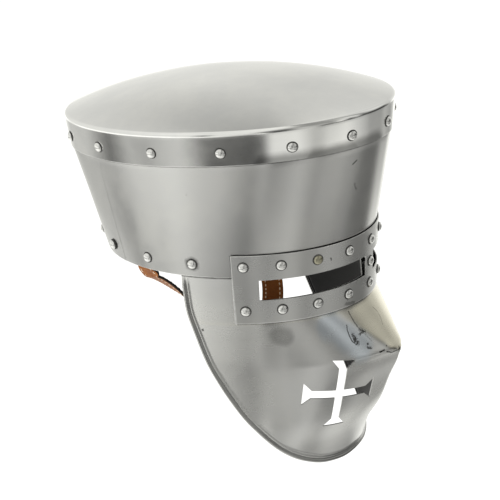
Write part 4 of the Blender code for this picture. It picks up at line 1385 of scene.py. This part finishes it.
def steel(name, tone, roughness, anisotropy, seams=(), edge_sheen=(), marks=(), tints=()):
    """Brushed steel with painted shade and some dirt along seams, painted highlights along edges,
    painted tints and sheen, and dark marks where the rows place them.
    """
    material, tree, shader = start_material(name, 1.0, (tone, tone, tone))
    vector = object_coordinates(tree)
    upward = add(tree, "ShaderNodeSeparateXYZ", None,
                 Vector=tree.nodes.new("ShaderNodeNewGeometry").outputs["Normal"]).outputs["Z"]
    flat = remap(tree, upward, 0.55, 0.8)
    brush = use_group(tree, BRUSH, Vector=vector, Flat_share=flat, Contrast=1.3)
    clouds = use_group(tree, CLOUDS, Vector=vector)
    finish = mix_colour(tree, clouds.outputs["Clouds"], grey(tone * 0.95), grey(tone * 1.04, 0.02))
    for mask, darker in (
            (remap(tree, brush.outputs["Lines"], 0.25, 0.75, 0.0, 0.08, False), tone * 0.78),
            (maths(tree, "MULTIPLY", brush.outputs["Scratches"], 0.04), tone * 0.6),
            (maths(tree, "MULTIPLY", clouds.outputs["Specks"], 0.12), 0.12)):
        finish = mix_colour(tree, mask, finish, grey(darker))
    # Painted highlights along the plates' edges
    if edge_sheen:
        sheen_lines = strongest(tree, seam_masks(tree, vector, edge_sheen))
        finish = mix_colour(tree, sheen_lines, finish, grey(min(1.0, tone * 1.6)))
    # Painted bluish shade from the tint rows
    for tint in mark_masks(tree, vector, tints):
        finish = mix_colour(tree, tint, finish, NOSE_SIDE_SHADE_BLUE, "MULTIPLY")
    # Painted sheen on the nose's upper facet
    finish = mix_colour(tree, stored_value(tree, "facet"), finish, FACET_PAINTED_SHEEN, "MULTIPLY")
    # One dark mask: painted shade in the lip's groove and along the seams, painted shade in some marks,
    # and real marks
    groove_shade = maths(tree, "MULTIPLY", stored_value(tree, "groove_shade"), 0.5)
    shade_and_dirt = strongest(tree, [groove_shade, *seam_masks(tree, vector, seams),
                            *mark_masks(tree, vector, marks)])
    give(tree, shader.inputs["Base Color"], mix_colour(tree, shade_and_dirt, finish, grey(0.035, 0.1)))
    lined = maths(tree, "MULTIPLY", maths(tree, "SUBTRACT", brush.outputs["Lines"], 0.5), 0.02)
    cloudy = maths(tree, "MULTIPLY", clouds.outputs["Clouds"], 0.04)
    rough = maths(tree, "ADD", maths(tree, "ADD", roughness, lined), cloudy, True)
    give(tree, shader.inputs["Roughness"], rough)
    shader.inputs["Anisotropic"].default_value = anisotropy
    shader.inputs["Anisotropic Rotation"].default_value = 0.25
    bump(tree, shader, brush.outputs["Lines"], 0.003, 0.0001)
    return material


def cloudy_finish(name, metallic, colour, cloud_sizes, tones, roughness):
    """Plain finish whose tone and roughness change a little in clouds."""
    material, tree, shader = start_material(name, metallic, colour)
    wide, small = cloud_sizes
    clouds = use_group(tree, CLOUDS, Vector=object_coordinates(tree), Wide=wide,
                       Small=small).outputs["Clouds"]
    give(tree, shader.inputs["Base Color"], mix_colour(tree, clouds, *tones))
    give(tree, shader.inputs["Roughness"], remap(tree, clouds, 0.0, 1.0, *roughness, False))
    return material, tree, shader


def inside_paint():
    """Plain black paint on the plates' inner faces, a little uneven."""
    tones = (0.003, 0.003, 0.0033, 1.0), (0.008, 0.008, 0.0084, 1.0)
    material, tree, shader = cloudy_finish("inside_black_paint", 0.0, (0.01, 0.01, 0.0105),
                                           (22.0, 140.0), tones, (0.34, 0.5))
    shader.inputs["Specular IOR Level"].default_value = 0.2
    bump(tree, shader, noise_at(tree, object_coordinates(tree), 1100.0), 0.25, 0.0001)
    return material


def filed_edge():
    """Filed steel of the sheets' cut edges: paler and duller than the brushed faces."""
    return cloudy_finish("filed_edge_steel", 1.0, (0.7, 0.7, 0.69), (60.0, 500.0),
                         (grey(0.6), grey(0.78, 0.02)), (0.45, 0.6))[0]


def seat_shade_and_dirt():
    """Painted shade with some dirt on the lower side of each rivet's head and in the seat round it."""
    return cloudy_finish("rivet_seat_shade_and_dirt", 0.0, (0.03, 0.03, 0.03), (150.0, 600.0),
                         (grey(0.012), grey(0.07, 0.1)), (0.5, 0.75))[0]


def rivet_steel():
    """Polished rivet heads; a few are tarnished."""
    material, tree, shader = start_material("polished_rivet_steel", 1.0, (0.78, 0.78, 0.76))
    tarnish = stored_value(tree, "tarnish")
    clouds = use_group(tree, CLOUDS, Vector=object_coordinates(tree), Wide=180.0,
                       Small=700.0).outputs["Clouds"]
    clean = mix_colour(tree, clouds, grey(0.72), grey(0.84, 0.02))
    give(tree, shader.inputs["Base Color"], mix_colour(tree, tarnish, clean, TARNISH))
    rough = remap(tree, clouds, 0.0, 1.0, 0.20, 0.27, False)
    rough = maths(tree, "ADD", rough, maths(tree, "MULTIPLY", tarnish, 0.06))
    give(tree, shader.inputs["Roughness"], rough)
    return material


def leather(name, light, dark, roughness, grain_depth):
    """Leather: grain with pores, darker creases and a tone that changes along the strap."""
    material, tree, shader = start_material(name, 0.0, light[:3])
    shader.inputs["Specular IOR Level"].default_value = 0.3
    vector = object_coordinates(tree)
    clouds = use_group(tree, CLOUDS, Vector=vector, Wide=45.0, Small=260.0).outputs["Clouds"]
    cells = add(tree, "ShaderNodeTexVoronoi", {"feature": "DISTANCE_TO_EDGE"}, Vector=vector,
                Scale=950.0).outputs["Distance"]
    creases = remap(tree, cells, 0.0, 0.16)
    fine = noise_at(tree, vector, 2400.0, 3.0, 0.6)
    height = maths(tree, "ADD", maths(tree, "MULTIPLY", creases, 0.7),
                   maths(tree, "MULTIPLY", fine, 0.3))
    tone = mix_colour(tree, clouds, dark, light)
    crease_share = remap(tree, creases, 0.0, 1.0, 0.35, 0.0, False)
    crease_tone = tuple(c * 0.45 for c in dark[:3]) + (1.0,)
    give(tree, shader.inputs["Base Color"], mix_colour(tree, crease_share, tone, crease_tone))
    give(tree, shader.inputs["Roughness"],
         remap(tree, height, 0.0, 1.0, roughness + 0.12, roughness - 0.06, False))
    bump(tree, shader, height, 0.6, grain_depth)
    return material


def thread():
    """Waxed stitching thread with its twist."""
    material, tree, shader = start_material("waxed_thread", 0.0, THREAD_PALE[:3])
    twist = add(tree, "ShaderNodeTexWave", {"bands_direction": "DIAGONAL"},
                Vector=object_coordinates(tree), Scale=900.0, Distortion=1.0,
                Detail=1.0).outputs["Fac"]
    give(tree, shader.inputs["Base Color"], mix_colour(tree, twist, THREAD_DARK, THREAD_PALE))
    shader.inputs["Roughness"].default_value = 0.6
    bump(tree, shader, twist, 0.5, 0.0001)
    return material


def cloth_tone(name, azimuth):
    directions, tones = zip(*TENT_CLOTHS[name])
    return np.interp(azimuth, directions, tones)


def tent_tone(azimuth, height):
    """Brightness of the tent in one direction, both angles in degrees."""
    narrow = NARROW_HEIGHT + NARROW_SWING * np.cos(np.radians(azimuth - NARROW_TOWARDS))
    stops = (("deep", -90.0), ("deep", DEEP_HEIGHT), ("ground", GROUND_HEIGHT),
             ("low", narrow - NARROW_FADE), ("narrow", narrow - NARROW_HALF),
             ("narrow", narrow + NARROW_HALF), ("low", narrow + NARROW_FADE), ("level", 0.0),
             ("high", HIGH_HEIGHT), ("top", TOP_HEIGHT), ("top", 90.0))
    tone = np.zeros(np.shape(azimuth))
    for (low_name, low), (high_name, high) in zip(stops, stops[1:]):
        share = (height - low) / (high - low)
        below, above = cloth_tone(low_name, azimuth), cloth_tone(high_name, azimuth)
        inside = (share >= 0.0) & (share <= 1.0)
        tone = np.where(inside, below + (above - below) * share, tone)
    for towards, half_width, level, half_height, patch_tone in TENT_PATCHES:
        turn = (azimuth - towards + 180.0) % 360.0 - 180.0
        cover = (np.clip((half_width - np.abs(turn)) / PATCH_FADE, 0.0, 1.0)
                 * np.clip((half_height - np.abs(height - level)) / PATCH_FADE, 0.0, 1.0))
        tone = tone + (patch_tone - tone) * cover
    return tone


def tent_cloth():
    """Cloth that glows by the value stored at each of its points."""
    material = bpy.data.materials.new("tent_cloth")
    material.use_nodes = True
    tree = material.node_tree
    tree.nodes.clear()
    cloth = add(tree, "ShaderNodeEmission", None, Color=(1.0, 1.0, 0.95, 1.0),
                Strength=stored_value(tree, "glow"))
    add(tree, "ShaderNodeOutputMaterial", None, Surface=cloth.outputs[0])
    material.cycles.emission_sampling = "NONE"
    return material


def build_tent():
    """Round tent of pale cloth about the helmet, seen only in its reflections."""
    azimuths = np.arange(-180.0, 180.0, TENT_CELL)
    heights = np.arange(TENT_CELL - 90.0, 90.0, TENT_CELL)
    grid_azimuth, grid_height = np.meshgrid(azimuths, heights)
    turn, rise = np.radians(grid_azimuth), np.radians(grid_height)
    points = TENT_RADIUS * place(-np.sin(turn) * np.cos(rise), -np.cos(turn) * np.cos(rise),
                                 np.sin(rise)) + np.array(CAMERA_AIM)
    rows, steps = turn.shape
    last = (rows - 1) * steps
    faces = tube_faces(0, rows, steps)
    faces += [tuple(range(steps)), tuple(range(last, last + steps))]
    mesh = make_mesh("light_tent", points.reshape(-1, 3), faces, [tent_cloth()], [0] * len(faces))
    store_values(mesh, "glow", tent_tone(grid_azimuth, grid_height))
    tent = add_object("light_tent", mesh)
    tent.visible_camera = False
    tent.visible_diffuse = False
    tent.visible_shadow = False
    tent.visible_transmission = False


def build_floor():
    corners = [(FLOOR_REACH * x, FLOOR_REACH * y, FLOOR_LEVEL)
               for x, y in ((-1, -1), (1, -1), (1, 1), (-1, 1))]
    material, _, shader = start_material("pale_floor", 0.0, (0.92, 0.92, 0.92))
    shader.inputs["Base Color"].default_value = (0.95, 0.95, 0.95, 1.0)
    shader.inputs["Roughness"].default_value = 0.9
    shader.inputs["Specular IOR Level"].default_value = 0.0
    floor = add_object("floor", make_mesh("floor", corners, [(0, 1, 2, 3)], [material], [0]))
    floor.visible_glossy = False


def light_room():
    """Even room light, and one softbox overhead that the steel doesn't mirror."""
    world = bpy.data.worlds.new("studio")
    bpy.context.scene.world = world
    world.use_nodes = True
    background = world.node_tree.nodes["Background"]
    background.inputs["Color"].default_value = ROOM_COLOUR
    background.inputs["Strength"].default_value = ROOM_STRENGTH
    light = bpy.data.lights.new("overhead_softbox", "AREA")
    light.size = SOFTBOX_SIZE
    light.energy = SOFTBOX_POWER
    light.color = SOFTBOX_COLOUR
    lamp = add_object("overhead_softbox", light)
    lamp.location.z = SOFTBOX_HEIGHT
    lamp.visible_glossy = False


def place_camera():
    azimuth, height, roll = (math.radians(v) for v in (CAMERA_AZIMUTH, CAMERA_HEIGHT, CAMERA_ROLL))
    back = Vector((-math.sin(azimuth) * math.cos(height), -math.cos(azimuth) * math.cos(height),
                   math.sin(height)))
    level_right = (-back).cross(Vector((0.0, 0.0, 1.0))).normalized()
    level_up = level_right.cross(-back)
    right = level_right * math.cos(roll) + level_up * math.sin(roll)
    up = level_up * math.cos(roll) - level_right * math.sin(roll)
    data = bpy.data.cameras.new("camera")
    data.sensor_width = SENSOR_WIDTH
    data.lens = FOCAL_PIXELS * SENSOR_WIDTH / IMAGE_SIZE
    data.shift_x = (IMAGE_SIZE / 2 - IMAGE_CENTRE[0]) / IMAGE_SIZE
    data.shift_y = (IMAGE_CENTRE[1] - IMAGE_SIZE / 2) / IMAGE_SIZE
    camera = add_object("camera", data)
    turn = Matrix((right, up, back)).transposed().to_4x4()
    camera.matrix_world = Matrix.Translation(Vector(CAMERA_AIM) + back * CAMERA_DISTANCE) @ turn
    bpy.context.scene.camera = camera


def placed_marks(rows, surface):
    """Straight marks from each of a row's places on the surface to the next, or at its only one."""
    out = []
    for places, reach, broken, grain, strength in rows:
        points = [tuple(surface(math.radians(a), z * MM) - crown_underside()) for a, z in places]
        out += [(start, end, reach * MM, broken, grain, strength)
                for start, end in zip(points, points[1:] or points)]
    return out


def plate_materials():
    """The four plates' steels, each with its seams of painted shade, edges of painted highlight and
    marks.
    """
    rim = -crown_underside()[2]
    band_top, band_bottom = rim + BAND_TOP, rim + BAND_BOTTOM
    band_end = band_point(math.radians(BAND_REACH), 0.0)[1] - CROWN_SHIFT
    flange_edge = rim + CROWN_HEIGHT - FLANGE_DEPTH - CROWN_TILT * CROWN_SHIFT
    up, down = (0.0, 0.0, 1.0), (0.0, 0.0, -1.0)
    backward, forward = (0.0, 1.0, 0.0), (0.0, -1.0, 0.0)
    tilted = (0.0, CROWN_TILT, 1.0)
    unbounded = (0.0, 0.0, 0.0), 1.0
    # Wall: painted shade under the flange and along the band's top and end; a painted highlight along
    # the rim
    wall = steel("wall_steel", 0.595, 0.22, 0.60, seams=(
        (tilted, flange_edge, 1.5 * MM, *unbounded, 0.80),
        (up, band_top, 1.6 * MM, backward, band_end, 0.92),
        (backward, band_end, 1.6 * MM, up, band_top, 1.0),
    ), edge_sheen=(
        (up, rim, 1.0 * MM, *unbounded, 0.6),
    ), marks=placed_marks(WALL_MARKS, wall_point))
    # Cap: its steel is paler than the other plates' to brighten the light it mirrors, a painted
    # highlight; a painted highlight also runs along the flange's edge
    cap = steel("cap_steel", 0.88, 0.12, 0.40, edge_sheen=(
        (tilted, flange_edge + 0.4 * MM, 0.9 * MM, *unbounded, 0.5),
    ), marks=placed_marks(FLANGE_MARKS, lambda a, z: flange_point(a, -z)))
    # Band: painted highlights along its bottom, top and end edges
    band = steel("band_steel", 0.565, 0.26, 0.70, edge_sheen=(
        (up, band_bottom, 1.3 * MM, *unbounded, 0.95),
        (up, band_top, 1.0 * MM, *unbounded, 0.6),
        (backward, band_end, 1.4 * MM, *unbounded, 1.0),
    ), marks=placed_marks(BAND_MARKS, band_point))
    # Mask: painted shade under the wall's rim and along the band's bottom and end
    mask = steel("mask_steel", 0.64, 0.24, 0.60, seams=(
        (up, rim - 0.3 * MM, 2.2 * MM, forward, -band_end, 1.0),
        (up, band_bottom - 0.2 * MM, 1.5 * MM, backward, band_end, 0.85),
        (backward, band_end + 0.4 * MM, 1.7 * MM, down, -band_bottom, 1.0),
    ), marks=placed_marks(MASK_MARKS, mask_point), tints=placed_marks(MASK_TINTS, mask_point))
    return cap, wall, band, mask


def main():
    cap_steel, wall_steel, band_steel, mask_steel = plate_materials()
    paint = inside_paint()
    edge = filed_edge()
    build_crown_cap([cap_steel, paint])
    build_skull_wall([wall_steel, paint])
    build_eye_band([band_steel, paint, edge])
    build_face_mask([mask_steel, paint, edge])
    rivets = [rivet_steel(), paint, seat_shade_and_dirt()]
    for row, seats, dull in (("cap", cap_rivet_seats(), ()), ("rear", rear_rivet_seats(), ()),
                             ("band", band_rivet_seats(), (DULL_BAND_RIVET,))):
        nodes = sorted(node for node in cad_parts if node.startswith(row + "_rivet"))
        build_rivets(row + "_rivets", seats, nodes, rivets, dull)
    build_strap([leather("strap_leather", HIDE_LIGHT, HIDE_DARK, 0.50, 0.0002),
                 leather("dark_strap_edge", DARK_EDGE_PALE, DARK_EDGE_DEEP, 0.55, 0.0001)])
    build_stitches(thread())
    build_tent()
    build_floor()
    light_room()
    place_camera()
    bpy.context.scene.view_settings.view_transform = "Standard"


main()
